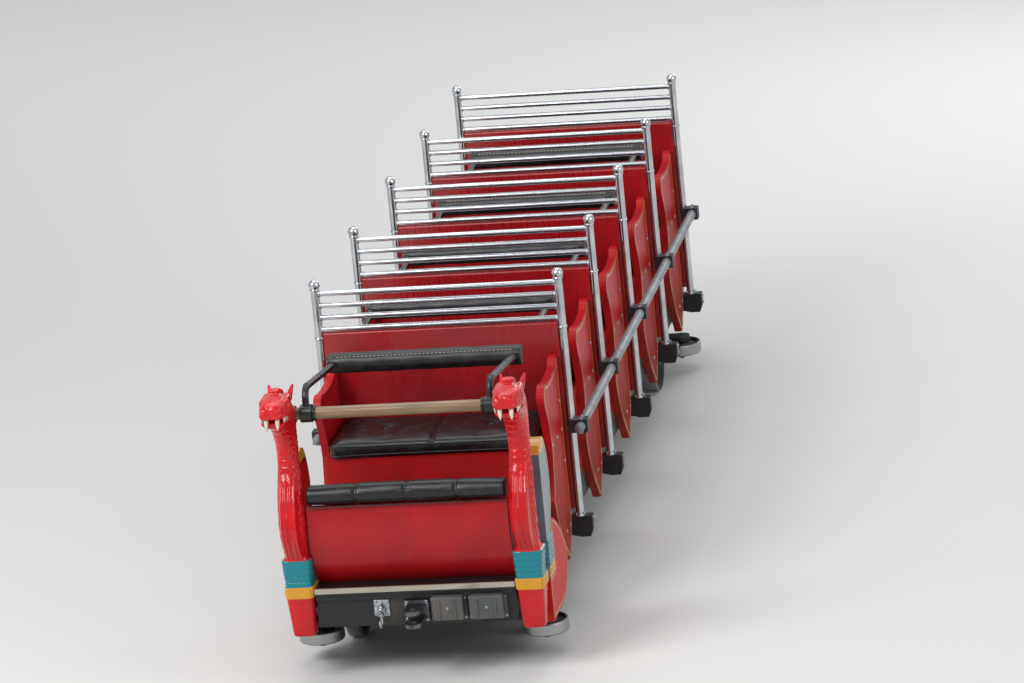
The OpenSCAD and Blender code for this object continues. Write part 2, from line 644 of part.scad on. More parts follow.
module chain_dog() {
    color("#6d7075") translate([0, dog_y, dog_z]) {
        rod_x(24, -dog_w / 2, dog_w / 2);
        rod_x(dog_pin_r, -dog_w / 2 - 1 - ear_t - 3, dog_w / 2 + 1 + ear_t + 3);
        side_profile(-dog_w / 2, dog_w) polygon([[-20, 0], [-17, -dog_reach + 30], [-30, -dog_reach + 16], [-24, -dog_reach],
            [16, -dog_reach], [22, -dog_reach + 24], [20, 0]]);
    }
}
module rollback_pawl() {
    color("#6d7075") translate([0, pawl_y, dog_z]) {
        rod_x(24, -dog_w / 2, dog_w / 2);
        rod_x(dog_pin_r, -dog_w / 2 - 1 - ear_t - 3, dog_w / 2 + 1 + ear_t + 3);
        side_profile(-dog_w / 2, dog_w) polygon([[-16, -16], [96, -dog_reach + 6], [118, -dog_reach + 6], [130, -dog_reach + 34],
            [16, 17]]);
    }
}

chassis_frame();
cross_bearers();
axle_boxes();
guide_brackets();
floor_deck();
dash_sill();
nose_dash();
dash_pad();
figurehead_left();
figurehead_right();
nose_posts();
nose_cheeks();
grab_bar();
bench(0);  // bench_1
bench(1);  // bench_2
bench(2);  // bench_3
bench(3);  // bench_4
bench(4);  // bench_5
seat_cushions();
seat_back(0);  // seat_back_1
seat_back(1);  // seat_back_2
seat_back(2);  // seat_back_3
seat_back(3);  // seat_back_4
seat_back(4);  // seat_back_5
ladder(0);  // ladder_1
ladder(1);  // ladder_2
ladder(2);  // ladder_3
ladder(3);  // ladder_4
ladder(4);  // ladder_5
side_rails();
rail_clamps();
lap_bar_at(0);  // lap_bar_1
lap_bar_at(1);  // lap_bar_2
lap_bar_at(2);  // lap_bar_3
lap_bar_at(3);  // lap_bar_4
lap_bar_at(4);  // lap_bar_5
wheelset(front_axle_y);  // wheelset_front
wheelset(rear_axle_y);  // wheelset_rear
guide_wheel(0);  // guide_wheel_fl
guide_wheel(1);  // guide_wheel_fr
guide_wheel(2);  // guide_wheel_rl
guide_wheel(3);  // guide_wheel_rr
front_clevis();
drawbar_rear();
chain_dog();
rollback_pawl();
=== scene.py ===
"""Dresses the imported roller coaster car: enamels, steel and timber finishes, carved figureheads,
stuffed vinyl pads, painted lines and fastenings, with a plain stage round them.
Metres, Z up, front at -Y, the right side of the picture at +X."""

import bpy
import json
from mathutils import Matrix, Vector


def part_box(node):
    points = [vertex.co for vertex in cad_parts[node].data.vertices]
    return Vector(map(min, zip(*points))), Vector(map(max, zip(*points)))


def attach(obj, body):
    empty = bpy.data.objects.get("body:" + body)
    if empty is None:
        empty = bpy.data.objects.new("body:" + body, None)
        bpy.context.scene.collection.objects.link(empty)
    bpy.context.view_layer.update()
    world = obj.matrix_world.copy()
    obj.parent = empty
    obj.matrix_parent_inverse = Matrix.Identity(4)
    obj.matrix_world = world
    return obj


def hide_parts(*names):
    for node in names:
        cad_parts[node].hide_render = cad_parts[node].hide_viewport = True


bl_info = {
    "name": "Roller coaster car",
    "version": (1, 0, 0),
    "blender": (4, 5, 0),
    "location": "View3D > Sidebar > Coaster Car",
    "description": "Finishes and fittings of a side-friction coaster car",
    "category": "Object",
}

import json
import math

import bmesh
import bpy
import numpy as np
from bpy.props import FloatProperty, FloatVectorProperty, PointerProperty
from mathutils import Matrix, Vector
from mathutils.bvhtree import BVHTree

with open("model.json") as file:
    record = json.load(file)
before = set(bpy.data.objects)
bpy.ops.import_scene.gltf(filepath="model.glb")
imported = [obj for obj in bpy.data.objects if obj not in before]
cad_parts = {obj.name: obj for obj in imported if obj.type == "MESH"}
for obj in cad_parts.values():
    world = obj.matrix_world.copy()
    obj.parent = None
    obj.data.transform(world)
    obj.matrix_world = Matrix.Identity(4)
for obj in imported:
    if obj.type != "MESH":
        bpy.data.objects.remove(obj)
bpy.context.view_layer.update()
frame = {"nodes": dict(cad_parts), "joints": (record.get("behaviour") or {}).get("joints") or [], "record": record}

MM = 0.001
ROWS = range(1, 6)
CAR = "car"


def mm(metres):
    return metres / MM


def low(name):
    return Vector(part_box(name)[0])


def high(name):
    return Vector(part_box(name)[1])


def middle(name):
    return (low(name) + high(name)) / 2


# Sizes taken from the frame, in metres
POST_Y = {i: middle(f"seat_back_{i}").y for i in ROWS}     # middle of each ladder frame
NOSE_Y = low("nose_dash").y
DECK_TOP = high("floor_deck").z
STEEL_TOP = high("chassis_frame").z
RAIL_FACE = high("chassis_frame").x                        # outer face of an outer rail
FOOT_R = (high("ladder_5") - low("ladder_5")).y / 2        # flange at the foot of a ladder post
POST_X = high("ladder_5").x - FOOT_R
CUSHION_FRONT = low("seat_cushions").y - POST_Y[1]         # from a ladder frame
FIG_FOOT = Vector((middle("figurehead_right").x, NOSE_Y, low("figurehead_right").z))

LAP_PIVOT = {j["child"]: Vector(j["pos_m"]) for j in frame["joints"] if j["child"].startswith("lap_bar")}

# Sizes of the solids that no box gives
BOARD = 25 * MM                                            # seat boards and risers
PLANK_MM = 118.0                                           # deck planks, from joint to joint
PAD_R = 37 * MM                                            # foam of a lap bar
PAD_AHEAD = 350 * MM                                       # its middle, ahead of its row's ladder frame
STOP_X_MM = 321.0                                          # stop collars beside the sleeves of a lap bar
WHEEL_X_MM, WHEEL_MM = 350.0, 58.0                         # middle and width of a running wheel
AXLE_BOX_MM = (230, 221)                                   # middle of an axle box, underside of its flanges

# Places on a figurehead in millimetres from its foot, x away from its middle
EYE_MM = (46.0, -64.0, 926.0)
# foot of the gold band, where it meets the teal band, and head of the teal band
BAND_MM = (155.0, 199.0, 304.0)

# Stretches of a pattern
BRUSHED_UP = (1, 1, 0.06)
ALONG_CAR = (1, 0.04, 1)
ACROSS_CAR = (0.04, 1, 1)

LEFT, RIGHT, FRONT, REAR, UP, DOWN = (-1, 0, 0), (1, 0, 0), (0, -1, 0), (0, 1, 0), (0, 0, 1), (0, 0, -1)


# Settings
def linear(hex_colour):
    """An sRGB hex colour as linear RGBA."""
    h = hex_colour.lstrip("#")
    rgb = [int(h[k : k + 2], 16) / 255 for k in (0, 2, 4)]
    return tuple(c / 12.92 if c <= 0.04045 else ((c + 0.055) / 1.055) ** 2.4 for c in rgb) + (1.0,)


def colour(label, text, default):
    """A colour that a user may change."""
    return FloatVectorProperty(name=label, description=text, default=linear(default)[:3],
                               subtype="COLOR", size=3)


def length(label, text, default_mm):
    """A length that a user may change."""
    return FloatProperty(name=label, description=text, default=default_mm * MM,
                         min=0.0, unit="LENGTH", precision=4)


def angle(label, text, default_degrees):
    """An angle that a user may change."""
    return FloatProperty(name=label, description=text, default=math.radians(default_degrees),
                         subtype="ANGLE")


class CarColours(bpy.types.PropertyGroup):
    carving: colour("Figurehead red", "Gloss enamel on the carved figureheads", "#d8121c")
    teal: colour("Band teal", "Upper band round the feet of the figureheads", "#10808c")
    gold: colour("Band gold", "Lower band, and the caps of the corner posts", "#d99a22")
    dash: colour("Dash red", "Rolled front of the car", "#b00f16")
    bench: colour("Bench red", "Benches and their shaped ends", "#bd131b")
    back: colour("Back red", "Back boards of the benches", "#a01118")
    shield: colour("Shield red", "Shield boards behind the figureheads", "#d2151b")
    post: colour("Corner post", "Outer face of the posts behind the figureheads", "#64808c")
    board_line: colour("Board line", "Painted lines on red boards", "#c99a4c")
    post_line: colour("Post line", "Painted lines on the corner posts", "#cfc095")
    vinyl: colour("Vinyl", "Cushions, roll and lap pads", "#121214")
    side_rail: colour("Side rail", "Paint of the two side rails", "#868c92")
    # the frame colour is also the painted shade behind and under the nosing's pale edge
    steel_paint: colour("Underframe", "Paint of the steel frame", "#161719")
    hand_bar: colour("Hand bar", "Varnished bar between the figureheads", "#a3835c")
    deck: colour("Deck", "Oiled planks", "#5d4936")
    nosing: colour("Nosing", "Front edge under the dash", "#b8b1a2")


class CarSizes(bpy.types.PropertyGroup):
    line_width: length("Line width", "Width of the lines painted on boards", 6.5)
    line_inset: length("Line inset", "Edge of a bench end to its painted line", 15.0)
    frame_bolt: length("Frame bolt", "Width across the bolt heads on the outer rails", 17.0)
    coach_bolt: length("Coach bolt", "Radius of the domed heads on the bench ends", 8.0)
    weld: length("Weld", "Radius of the weld beads round the rungs", 13.6)
    carving_grain: length("Carving grain", "Size of the voxels that the figureheads are carved in", 3.1)
    cushion_crown: length("Cushion crown", "Most that the stuffing lifts a seat cushion", 11.0)
    roll_crown: length("Roll crown", "Most that the stuffing lifts the dash roll", 6.0)
    pad_crown: length("Pad crown", "Most that the stuffing lifts a lap pad", 5.0)
    piping: length("Piping", "Radius of the welts round a cushion", 3.2)
    stitch: length("Stitch", "Distance from stitch to stitch", 7.0)
    lace: length("Lace", "Distance from lace to lace on a lap pad", 16.0)


class CarStage(bpy.types.PropertyGroup):
    azimuth: angle("Azimuth", "Eye round the car, 0 in front", 10.7)
    elevation: angle("Elevation", "Eye above the floor", 15.0)
    roll: angle("Roll", "Lean of the car in the picture", 5.6)
    distance: FloatProperty(name="Distance", description="Eye to the point aimed at",
                            default=24.0, unit="LENGTH")
    aim: FloatVectorProperty(name="Aim", description="Point in the middle of the picture",
                             default=(0.02, 0.1, 0.66), subtype="TRANSLATION", size=3)
    lens: FloatProperty(name="Lens", description="Focal length on a 36 mm film",
                        default=205.0, unit="CAMERA")
    floor: colour("Floor", "Matt paint of the floor", "#dcdcda")
    sky: colour("Sky", "Light from all round", "#e9ecef")
    sky_level: FloatProperty(name="Sky level", description="Strength of the light from all round",
                             default=0.42, min=0.0)


# Nodes
def feed(n, inputs):
    """Gives a node its inputs, by name or place: sockets, lists of them, colours or numbers."""
    for key, value in inputs.items():
        socket = n.inputs[key]
        for one in value if isinstance(value, list) else [value]:
            if isinstance(one, bpy.types.NodeSocket):
                n.id_data.links.new(one, socket)
            elif socket.type == "RGBA":
                socket.default_value = linear(one) if isinstance(one, str) else (*one[:3], 1.0)
            else:
                socket.default_value = one


def node(tree, kind, inputs=None, out=0, **settings):
    """Adds a node with its inputs and settings. Returns one of its outputs, or all where out is None."""
    n = tree.nodes.new(kind)
    for key, value in settings.items():
        setattr(n, key, value)
    feed(n, inputs or {})
    return n.outputs if out is None else n.outputs[out]


def blank(name):
    """A material with an empty tree, its Object coordinates and a shader joined to the output."""
    mat = bpy.data.materials.new(name)
    mat.use_nodes = True
    tree = mat.node_tree
    tree.nodes.clear()
    coords = node(tree, "ShaderNodeTexCoord", out="Object")
    surface = node(tree, "ShaderNodeBsdfPrincipled")
    feed(tree.nodes.new("ShaderNodeOutputMaterial"), {"Surface": surface})
    return mat, tree, coords, surface.node


def per_mm(size):
    """Texture scale that gives features of that many millimetres on Object coordinates in metres."""
    return 1000.0 / size


def blotches(tree, coords, size_mm, detail=3.0, stretch=(1, 1, 1), lo=0.35, hi=0.65):
    """Soft patches of a real size, from 0 to 1."""
    place = node(tree, "ShaderNodeMapping", {"Vector": coords, "Scale": stretch})
    noise = node(tree, "ShaderNodeTexNoise", {"Vector": place, "Scale": per_mm(size_mm), "Detail": detail})
    return node(tree, "ShaderNodeMapRange", {"Value": noise, "From Min": lo, "From Max": hi})


def layered(tree, base, *coats):
    """Paint laid over a base: each coat is a mask from 0 to 1 and the colour or socket that it brings."""
    for mask, brought in coats:
        base = node(tree, "ShaderNodeMix", {0: mask, 6: base, 7: brought}, out=2, data_type="RGBA")
    return base


def shaded(tint, share=0.81):
    """The same colour, hex or linear, with that share of its light."""
    return tuple(share * v for v in (linear(tint) if isinstance(tint, str) else tint))


def polish(tree, shader, mask, lo, hi):
    """Roughness that runs from lo to hi with the mask."""
    rough = node(tree, "ShaderNodeMapRange", {"Value": mask, "To Min": lo, "To Max": hi})
    feed(shader, {"Roughness": rough})
    return rough


def relief(tree, shader, height, depth_mm, round_mm):
    """Bump of a real depth over edges softened by a real radius."""
    soft = node(tree, "ShaderNodeBevel", {"Radius": round_mm * MM}, samples=4)
    bump = {"Height": height, "Normal": soft, "Distance": depth_mm * MM, "Strength": 1.0}
    feed(shader, {"Normal": node(tree, "ShaderNodeBump", bump)})


def chipped_edges(tree, coords, fleck_mm, lo, hi, round_mm=3.0):
    """1 in flecks along edges and corners, 0 on flats: where the face turns away from its rounded copy."""
    soft = node(tree, "ShaderNodeBevel", {"Radius": round_mm * MM}, samples=4)
    flat = node(tree, "ShaderNodeNewGeometry", out="Normal")
    alike = node(tree, "ShaderNodeVectorMath", {0: soft, 1: flat}, out="Value", operation="DOT_PRODUCT")
    edge = node(tree, "ShaderNodeMapRange", {"Value": alike, "From Min": 0.98, "From Max": 0.86})
    flecks = blotches(tree, coords, fleck_mm, 4.0, lo=lo, hi=hi)
    return node(tree, "ShaderNodeMath", {0: edge, 1: flecks}, operation="MULTIPLY")


def looked_at(tree):
    """1 for what is seen straight, in a reflection or through glass, 0 for light that falls on the car."""
    ray = node(tree, "ShaderNodeLightPath", out=None)
    bent = {0: ray["Is Glossy Ray"], 1: ray["Is Transmission Ray"]}
    turned = node(tree, "ShaderNodeMath", bent, operation="MAXIMUM")
    return node(tree, "ShaderNodeMath", {0: ray["Is Camera Ray"], 1: turned}, operation="MAXIMUM")


# Materials
def enamel(name, tint, chip="#63251d", gloss=0.16, coat=0.5, shine=0.5, worn=0.55, dust_and_shade=None):
    """Brushed gloss enamel on primed timber: a clear shine, brush drag, chips along the edges.
    Real brush marks are about 1 mm apart, and are drawn 9 mm apart so that they show.
    The dust argument is a colour and a height in metres: under that height the paint darkens and browns towards
    that colour and dulls, as painted shade low down with some grime."""
    mat, tree, coords, shader = blank(name)
    patches = blotches(tree, coords, size_mm=160)
    drag = blotches(tree, coords, size_mm=9, detail=2.0, stretch=BRUSHED_UP)
    chips = chipped_edges(tree, coords, fleck_mm=14, lo=worn, hi=worn + 0.08)
    paint = layered(tree, tint, (patches, shaded(tint)), (chips, chip))
    rough = polish(tree, shader, drag, gloss, gloss + 0.08)
    # low on the boards the paint darkens and browns towards the floor and dulls: painted shade, with some grime
    if dust_and_shade:
        low_shade_and_grime_colour, top = dust_and_shade
        height = node(tree, "ShaderNodeSeparateXYZ", {0: coords}, out="Z")
        fade, most, dulling = 0.42, 0.75, 0.42
        fall = {"Value": height, "From Min": top, "From Max": top - fade, "To Max": most}
        lower = node(tree, "ShaderNodeMapRange", fall)
        streaks = blotches(tree, coords, size_mm=90, detail=5.0, lo=0.1, hi=0.55)
        low_shade_and_grime = node(tree, "ShaderNodeMath", {0: lower, 1: streaks}, operation="MULTIPLY")
        paint = layered(tree, paint, (low_shade_and_grime, low_shade_and_grime_colour))
        duller = node(tree, "ShaderNodeMath", {0: low_shade_and_grime, 1: dulling, 2: rough}, operation="MULTIPLY_ADD")
        feed(shader, {"Roughness": duller})
    feed(shader, {"Base Color": paint, "IOR": 1.5, "Specular IOR Level": shine, "Coat Weight": coat,
                  "Coat Roughness": 0.06})
    relief(tree, shader, drag, depth_mm=0.12, round_mm=1.8)
    return mat


def carved_enamel(red, gold, teal):
    """Gloss enamel brushed over carved timber: red, with gold and teal bands painted to the carved edges.
    Brush marks are drawn 8 mm apart so that they show."""
    mat, tree, coords, shader = blank("carved_gloss_enamel")
    height = node(tree, "ShaderNodeSeparateXYZ", {0: coords}, out="Z")
    patches = blotches(tree, coords, size_mm=150)
    drag = blotches(tree, coords, size_mm=8, detail=2.0, stretch=(1, 1, 0.08))
    body = layered(tree, red, (patches, shaded(red, 0.76)))
    paint = body
    for z, tint in zip(BAND_MM, (gold, teal, body)):
        over = node(tree, "ShaderNodeMath", {0: height, 1: FIG_FOOT.z + z * MM}, operation="GREATER_THAN")
        paint = layered(tree, paint, (over, tint))
    chips = chipped_edges(tree, coords, fleck_mm=12, lo=0.6, hi=0.68)
    paint = layered(tree, paint, (chips, "#7c3a26"))
    polish(tree, shader, drag, 0.1, 0.18)
    feed(shader, {"Base Color": paint, "IOR": 1.5, "Specular IOR Level": 0.3, "Coat Weight": 0.3,
                  "Coat Roughness": 0.05})
    relief(tree, shader, drag, depth_mm=0.15, round_mm=1.2)
    return mat


def nosing_paint(pale, steel_paint):
    """Gloss on the planed front edge, scuffed in use; behind it and under it the frame's dark colour is painted
    shade under the dash.
    """
    mat, tree, coords, shader = blank("nosing_paint")
    place = node(tree, "ShaderNodeSeparateXYZ", {0: coords}, out=None)
    edge_back, edge_foot = NOSE_Y + 5 * MM, DECK_TOP + 1.5 * MM
    front = node(tree, "ShaderNodeMath", {0: place["Y"], 1: edge_back}, operation="LESS_THAN")
    over = node(tree, "ShaderNodeMath", {0: place["Z"], 1: edge_foot}, operation="GREATER_THAN")
    # 1 on the pale front edge; behind it and under it the frame colour stands for the shade under the dash
    painted = node(tree, "ShaderNodeMath", {0: front, 1: over}, operation="MULTIPLY")
    grain = blotches(tree, coords, size_mm=8, detail=6.0, stretch=ACROSS_CAR, lo=0.3, hi=0.7)
    scuff = blotches(tree, coords, size_mm=55, detail=5.0, stretch=(0.3, 1, 1), lo=0.52, hi=0.66)
    edge = layered(tree, pale, (grain, shaded(pale, 0.74)), (scuff, shaded(pale, 0.42)))
    polish(tree, shader, scuff, 0.35, 0.6)
    feed(shader, {"Base Color": layered(tree, steel_paint, (painted, edge))})
    relief(tree, shader, grain, depth_mm=0.25, round_mm=1.5)
    return mat


def nose_post_enamel(outside, cap):
    """Blue-grey enamel outside, deep red inside, and a gold cap over the shoulder."""
    mat, tree, coords, shader = blank("nose_post_enamel")
    place = node(tree, "ShaderNodeSeparateXYZ", {0: coords}, out=None)
    across = node(tree, "ShaderNodeMath", {0: place["X"]}, operation="ABSOLUTE")
    patches = blotches(tree, coords, size_mm=130)
    drag = blotches(tree, coords, size_mm=9, detail=2.0, stretch=BRUSHED_UP)
    outer = node(tree, "ShaderNodeMath", {0: across, 1: RAIL_FACE + 1.2 * MM}, operation="GREATER_THAN")
    shoulder = high("nose_posts").z - 49 * MM
    capped = node(tree, "ShaderNodeMath", {0: place["Z"], 1: shoulder}, operation="GREATER_THAN")
    face = layered(tree, outside, (patches, shaded(outside, 0.75)))
    chips = chipped_edges(tree, coords, fleck_mm=14, lo=0.58, hi=0.66)
    paint = layered(tree, "#8f1218", (outer, face), (capped, cap), (chips, "#3b4145"))
    feed(shader, {"Base Color": paint, "Coat Weight": 0.4, "Coat Roughness": 0.08})
    polish(tree, shader, drag, 0.18, 0.28)
    relief(tree, shader, drag, depth_mm=0.12, round_mm=1.8)
    return mat


def waxed_thread(name, pale, dark, twist_mm, rough):
    """Waxed thread or lace: light and dark strands, twisted, with a dull sheen.
    The twist of the strands is drawn coarse so that it shows."""
    mat, tree, coords, shader = blank(name)
    strands = blotches(tree, coords, twist_mm, detail=2.0)
    feed(shader, {"Base Color": layered(tree, pale, (strands, dark)), "Roughness": rough})
    return mat


def painted_eye():
    """Gold enamel eye under clear varnish, with a black slit painted on its outer face."""
    mat, tree, coords, shader = blank("varnished_gold_eye")
    y = node(tree, "ShaderNodeSeparateXYZ", {0: coords}, out="Y")
    slit = NOSE_Y + (EYE_MM[1] - 2) * MM
    along = node(tree, "ShaderNodeMath", {0: y, 1: slit}, operation="SUBTRACT")
    away = node(tree, "ShaderNodeMath", {0: along}, operation="ABSOLUTE")
    iris = node(tree, "ShaderNodeMapRange", {"Value": away, "From Min": 2.6 * MM, "From Max": 3.4 * MM})
    mottle = blotches(tree, coords, size_mm=6)
    gold = layered(tree, "#e8b83a", (mottle, "#c98c1c"))
    feed(shader, {"Base Color": layered(tree, "#141210", (iris, gold)), "Roughness": 0.12,
                  "Coat Weight": 1.0, "Coat Roughness": 0.03})
    return mat


def vinyl_hide(tint):
    """Upholstery vinyl, calendered with a hide grain: low sheen, pebbles, scuffs that lighten it.
    Its real pebbles are about 1 mm wide, and are drawn 3 mm wide so that they show."""
    mat, tree, coords, shader = blank("upholstery_vinyl")
    pebbles = node(tree, "ShaderNodeTexVoronoi", {"Vector": coords, "Scale": per_mm(3.2)}, out="Distance")
    scuff = blotches(tree, coords, size_mm=45, detail=5.0, lo=0.5, hi=0.75)
    polish(tree, shader, scuff, 0.32, 0.5)
    bump = node(tree, "ShaderNodeBump", {"Height": pebbles, "Distance": 0.25 * MM, "Strength": 0.7})
    feed(shader, {"Base Color": layered(tree, tint, (scuff, shaded(tint, 3.3))), "Normal": bump})
    return mat


def vinyl_piping(tint):
    """Extruded vinyl welt: smoother than the hide beside it, dulled where it rubs."""
    mat, tree, coords, shader = blank("vinyl_piping")
    rubbed = blotches(tree, coords, size_mm=70)
    polish(tree, shader, rubbed, 0.3, 0.42)
    feed(shader, {"Base Color": layered(tree, shaded(tint, 0.8), (rubbed, shaded(tint, 1.5)))})
    relief(tree, shader, rubbed, depth_mm=0.08, round_mm=1.5)
    return mat


def metal(name, bright, dull, rough, size_mm, round_mm=1.0):
    """A bare metal: its polish varies in patches of size_mm, between the two values of rough."""
    mat, tree, coords, shader = blank(name)
    patches = blotches(tree, coords, size_mm, detail=4.0)
    polish(tree, shader, patches, *rough)
    feed(shader, {"Base Color": layered(tree, bright, (patches, dull)), "Metallic": 1.0})
    relief(tree, shader, patches, 0.05, round_mm)
    return mat


def painted_steel(name, tint, dust_and_shade, rough, dust_lo=0.55, shade=0.78):
    """Machine paint on steel: satin, dusty in patches, rubbed bright on edges.
    rough is its least and most roughness, and dust spreads as dust_lo falls."""
    mat, tree, coords, shader = blank(name)
    patches = blotches(tree, coords, size_mm=70)
    grime = blotches(tree, coords, size_mm=220, detail=6.0, lo=dust_lo, hi=dust_lo + 0.2)
    rubbed = chipped_edges(tree, coords, fleck_mm=10, lo=0.5, hi=0.6, round_mm=2.0)
    polish(tree, shader, patches, *rough)
    paint = layered(tree, tint, (patches, shaded(tint, shade)), (grime, dust_and_shade), (rubbed, "#8d8f92"))
    feed(shader, {"Base Color": paint})
    relief(tree, shader, patches, depth_mm=0.08, round_mm=1.5)
    return mat


def timber(name, pale, dark, rough, along, grain_mm, coat=0.0):
    """Sawn or planed timber: streaks along the grain, darker figure, worn oil or varnish."""
    mat, tree, coords, shader = blank(name)
    streaks = blotches(tree, coords, grain_mm, detail=6.0, stretch=along, lo=0.3, hi=0.7)
    figure = blotches(tree, coords, grain_mm * 6, stretch=along)
    half_figure = node(tree, "ShaderNodeMath", {0: figure, 1: 0.45}, operation="MULTIPLY")
    polish(tree, shader, streaks, rough, rough + 0.2)
    wood = layered(tree, pale, (streaks, dark), (half_figure, dark))
    feed(shader, {"Base Color": wood, "Coat Weight": coat, "Coat Roughness": 0.12})
    relief(tree, shader, streaks, depth_mm=0.3, round_mm=1.5)
    return mat


def rolled_iron(name, centre, radius, axis):
    """Cast iron, rough from the sand, with the tread rolled bright. centre and radius are the wheel's."""
    mat, tree, coords, shader = blank(name)
    keep = (0.0, 1.0, 1.0) if axis == 0 else (1.0, 1.0, 0.0)
    shift = tuple(-c * k for c, k in zip(centre, keep))
    flat = {"Vector": coords, "Location": shift, "Scale": keep}
    disc = node(tree, "ShaderNodeMapping", flat, vector_type="POINT")
    reach = node(tree, "ShaderNodeVectorMath", {0: disc}, out="Value", operation="LENGTH")
    rim = {"Value": reach, "From Min": radius - 5 * MM, "From Max": radius - 2 * MM}
    tread = node(tree, "ShaderNodeMapRange", rim)
    sand = blotches(tree, coords, size_mm=4, detail=4.0)
    rust = blotches(tree, coords, size_mm=60, detail=5.0, lo=0.5, hi=0.7)
    iron = layered(tree, "#2b2c2f", (rust, "#3d332d"), (tread, "#a4a6a8"))
    feed(shader, {"Base Color": iron, "Metallic": tread})
    polish(tree, shader, tread, 0.62, 0.25)
    relief(tree, shader, sand, depth_mm=0.25, round_mm=2.0)
    return mat


# boards that have stood in the weather: their shine has gone
WEATHERED = {"gloss": 0.38, "coat": 0.0, "shine": 0.25}

# Every finish of the car, under the name of the record's slot or of the piece it dresses
FINISHES = {
    # gloss enamel on carved or planed timber: wet highlights, chipped edges, painted shade with grime low on the
    # benches, and painted shade behind and under the nosing's edge
    "carved_red": lambda c: carved_enamel(c.carving, c.gold, c.teal),
    "teal": lambda c: enamel("teal_enamel", c.teal, "#24474a"),
    "gold": lambda c: enamel("gold_enamel", c.gold, "#7d5a1e", gloss=0.2),
    "eye": lambda c: painted_eye(),
    "tooth": lambda c: enamel("cream_tooth_enamel", "#efe6cf", "#8f8062", gloss=0.15),
    "dash_red": lambda c: enamel("dash_red_enamel", c.dash, "#5d1a16", gloss=0.3, coat=0.1, shine=0.35),
    "bench_red": lambda c: enamel("bench_red_enamel", c.bench, dust_and_shade=("#74301f", 0.74), **WEATHERED),
    "shield_red": lambda c: enamel("shield_red_enamel", c.shield, **WEATHERED),
    "back_red": lambda c: enamel("back_red_enamel", c.back, "#5a1d18", gloss=0.26, coat=0.25),
    "blue_grey_paint": lambda c: nose_post_enamel(c.post, c.gold),
    "line_gold": lambda c: enamel("gold_line_enamel", c.board_line, "#7d5c38", gloss=0.3, worn=0.6),
    "line_cream": lambda c: enamel("cream_line_enamel", c.post_line, "#8a7a5a", gloss=0.3, worn=0.6),
    "sill_wood": lambda c: nosing_paint(c.nosing, c.steel_paint),
    # stuffed vinyl and what it is sewn with
    "black_vinyl": lambda c: vinyl_hide(c.vinyl),
    "piping": lambda c: vinyl_piping(c.vinyl),
    "thread": lambda c: waxed_thread("waxed_linen_thread", "#4c4b49", "#2e2d2c", twist_mm=1.2, rough=0.55),
    "lacing": lambda c: waxed_thread("waxed_cotton_lace", "#c9bfae", "#94897a", twist_mm=2.0, rough=0.6),
    # drawn tube, polished until it mirrors the room; forgings dulled by handling and grease;
    # plated bolts, some of them weathered
    "bright_steel": lambda c: metal("polished_steel_tube", "#cdd0d4", "#b4b8bd", (0.12, 0.26), 60),
    "bright_forging": lambda c: metal("bright_drop_forging", "#c3c6ca", "#8f9296", (0.2, 0.38), 16),
    "forged_steel": lambda c: metal("greased_forging", "#7d8085", "#4d4e50", (0.3, 0.5), 30, 2.0),
    "zinc": lambda c: metal("zinc_plated_bolt", "#b9bcc0", "#8e9196", (0.25, 0.42), 12, 0.6),
    "zinc_dull": lambda c: metal("weathered_zinc_bolt", "#7f8286", "#5e6063", (0.38, 0.6), 14, 0.6),
    # machine paint on steel and castings: satin, with dust in its hollows and rubbed edges
    "rail_grey": lambda c: painted_steel("silver_grey_rail_paint", c.side_rail, "#6c6a64", (0.34, 0.48)),
    "kick_strip": lambda c: painted_steel("scuffed_grey_kick_strip", "#6f7377", "#55504a", (0.3, 0.5),
                                          dust_lo=0.5),
    "grey_casting": lambda c: painted_steel("grey_cast_cover", "#55585a", "#6a6355", (0.45, 0.62),
                                            dust_lo=0.5),
    "clamp_dark": lambda c: painted_steel("dark_clamp_casting", "#222326", "#4a4640", (0.45, 0.6),
                                          shade=1.6),
    "cast_box": lambda c: painted_steel("oiled_cast_iron", "#232427", "#3c352c", (0.45, 0.6), dust_lo=0.5),
    "underframe_black": lambda c: painted_steel("underframe_paint", c.steel_paint, "#4d463c", (0.38, 0.55),
                                                shade=1.5),
    "lap_black": lambda c: painted_steel("lap_bar_black_paint", "#131416", "#2c2b2a", (0.22, 0.35),
                                         dust_lo=0.65, shade=1.5),
    # timber worn by use: varnished ash on the bar, oiled softwood underfoot
    "tan_wood": lambda c: timber("varnished_hand_bar", c.hand_bar, shaded(c.hand_bar, 0.4), rough=0.28,
                                 along=ACROSS_CAR, grain_mm=6.0, coat=0.4),
    "deck_plank": lambda c: timber("oiled_deck_planks", c.deck, shaded(c.deck, 0.3), rough=0.6,
                                   along=ALONG_CAR, grain_mm=9.0),
}
_made = {}


def finish_of(name):
    """The material of that name, made once."""
    if name not in _made:
        _made[name] = FINISHES[name](bpy.context.scene.coaster_colours)
    return _made[name]


# Meshes
def new_piece(name, mesh, finish, body, smooth=True):
    """Links a mesh as a finished piece that rides on a body of the frame."""
    obj = bpy.data.objects.new(name, mesh)
    bpy.context.collection.objects.link(obj)
    mesh.materials.clear()
    mesh.materials.append(finish_of(finish))
    mesh.polygons.foreach_set("use_smooth", [smooth] * len(mesh.polygons))
    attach(obj, body)
    return obj


def merged_copy(cad_name):
    """A copy of a CAD node's mesh with its loose triangles joined."""
    bm = bmesh.new()
    bm.from_mesh(frame["nodes"][cad_name].data)
    bmesh.ops.remove_doubles(bm, verts=bm.verts, dist=0.05 * MM)
    return bm


def to_mesh(bm, name, outward=False):
    """Turns the working mesh into a finished one, with its faces turned outwards where asked."""
    if outward:
        bmesh.ops.recalc_face_normals(bm, faces=bm.faces)
    mesh = bpy.data.meshes.new(name)
    bm.to_mesh(mesh)
    bm.free()
    return mesh


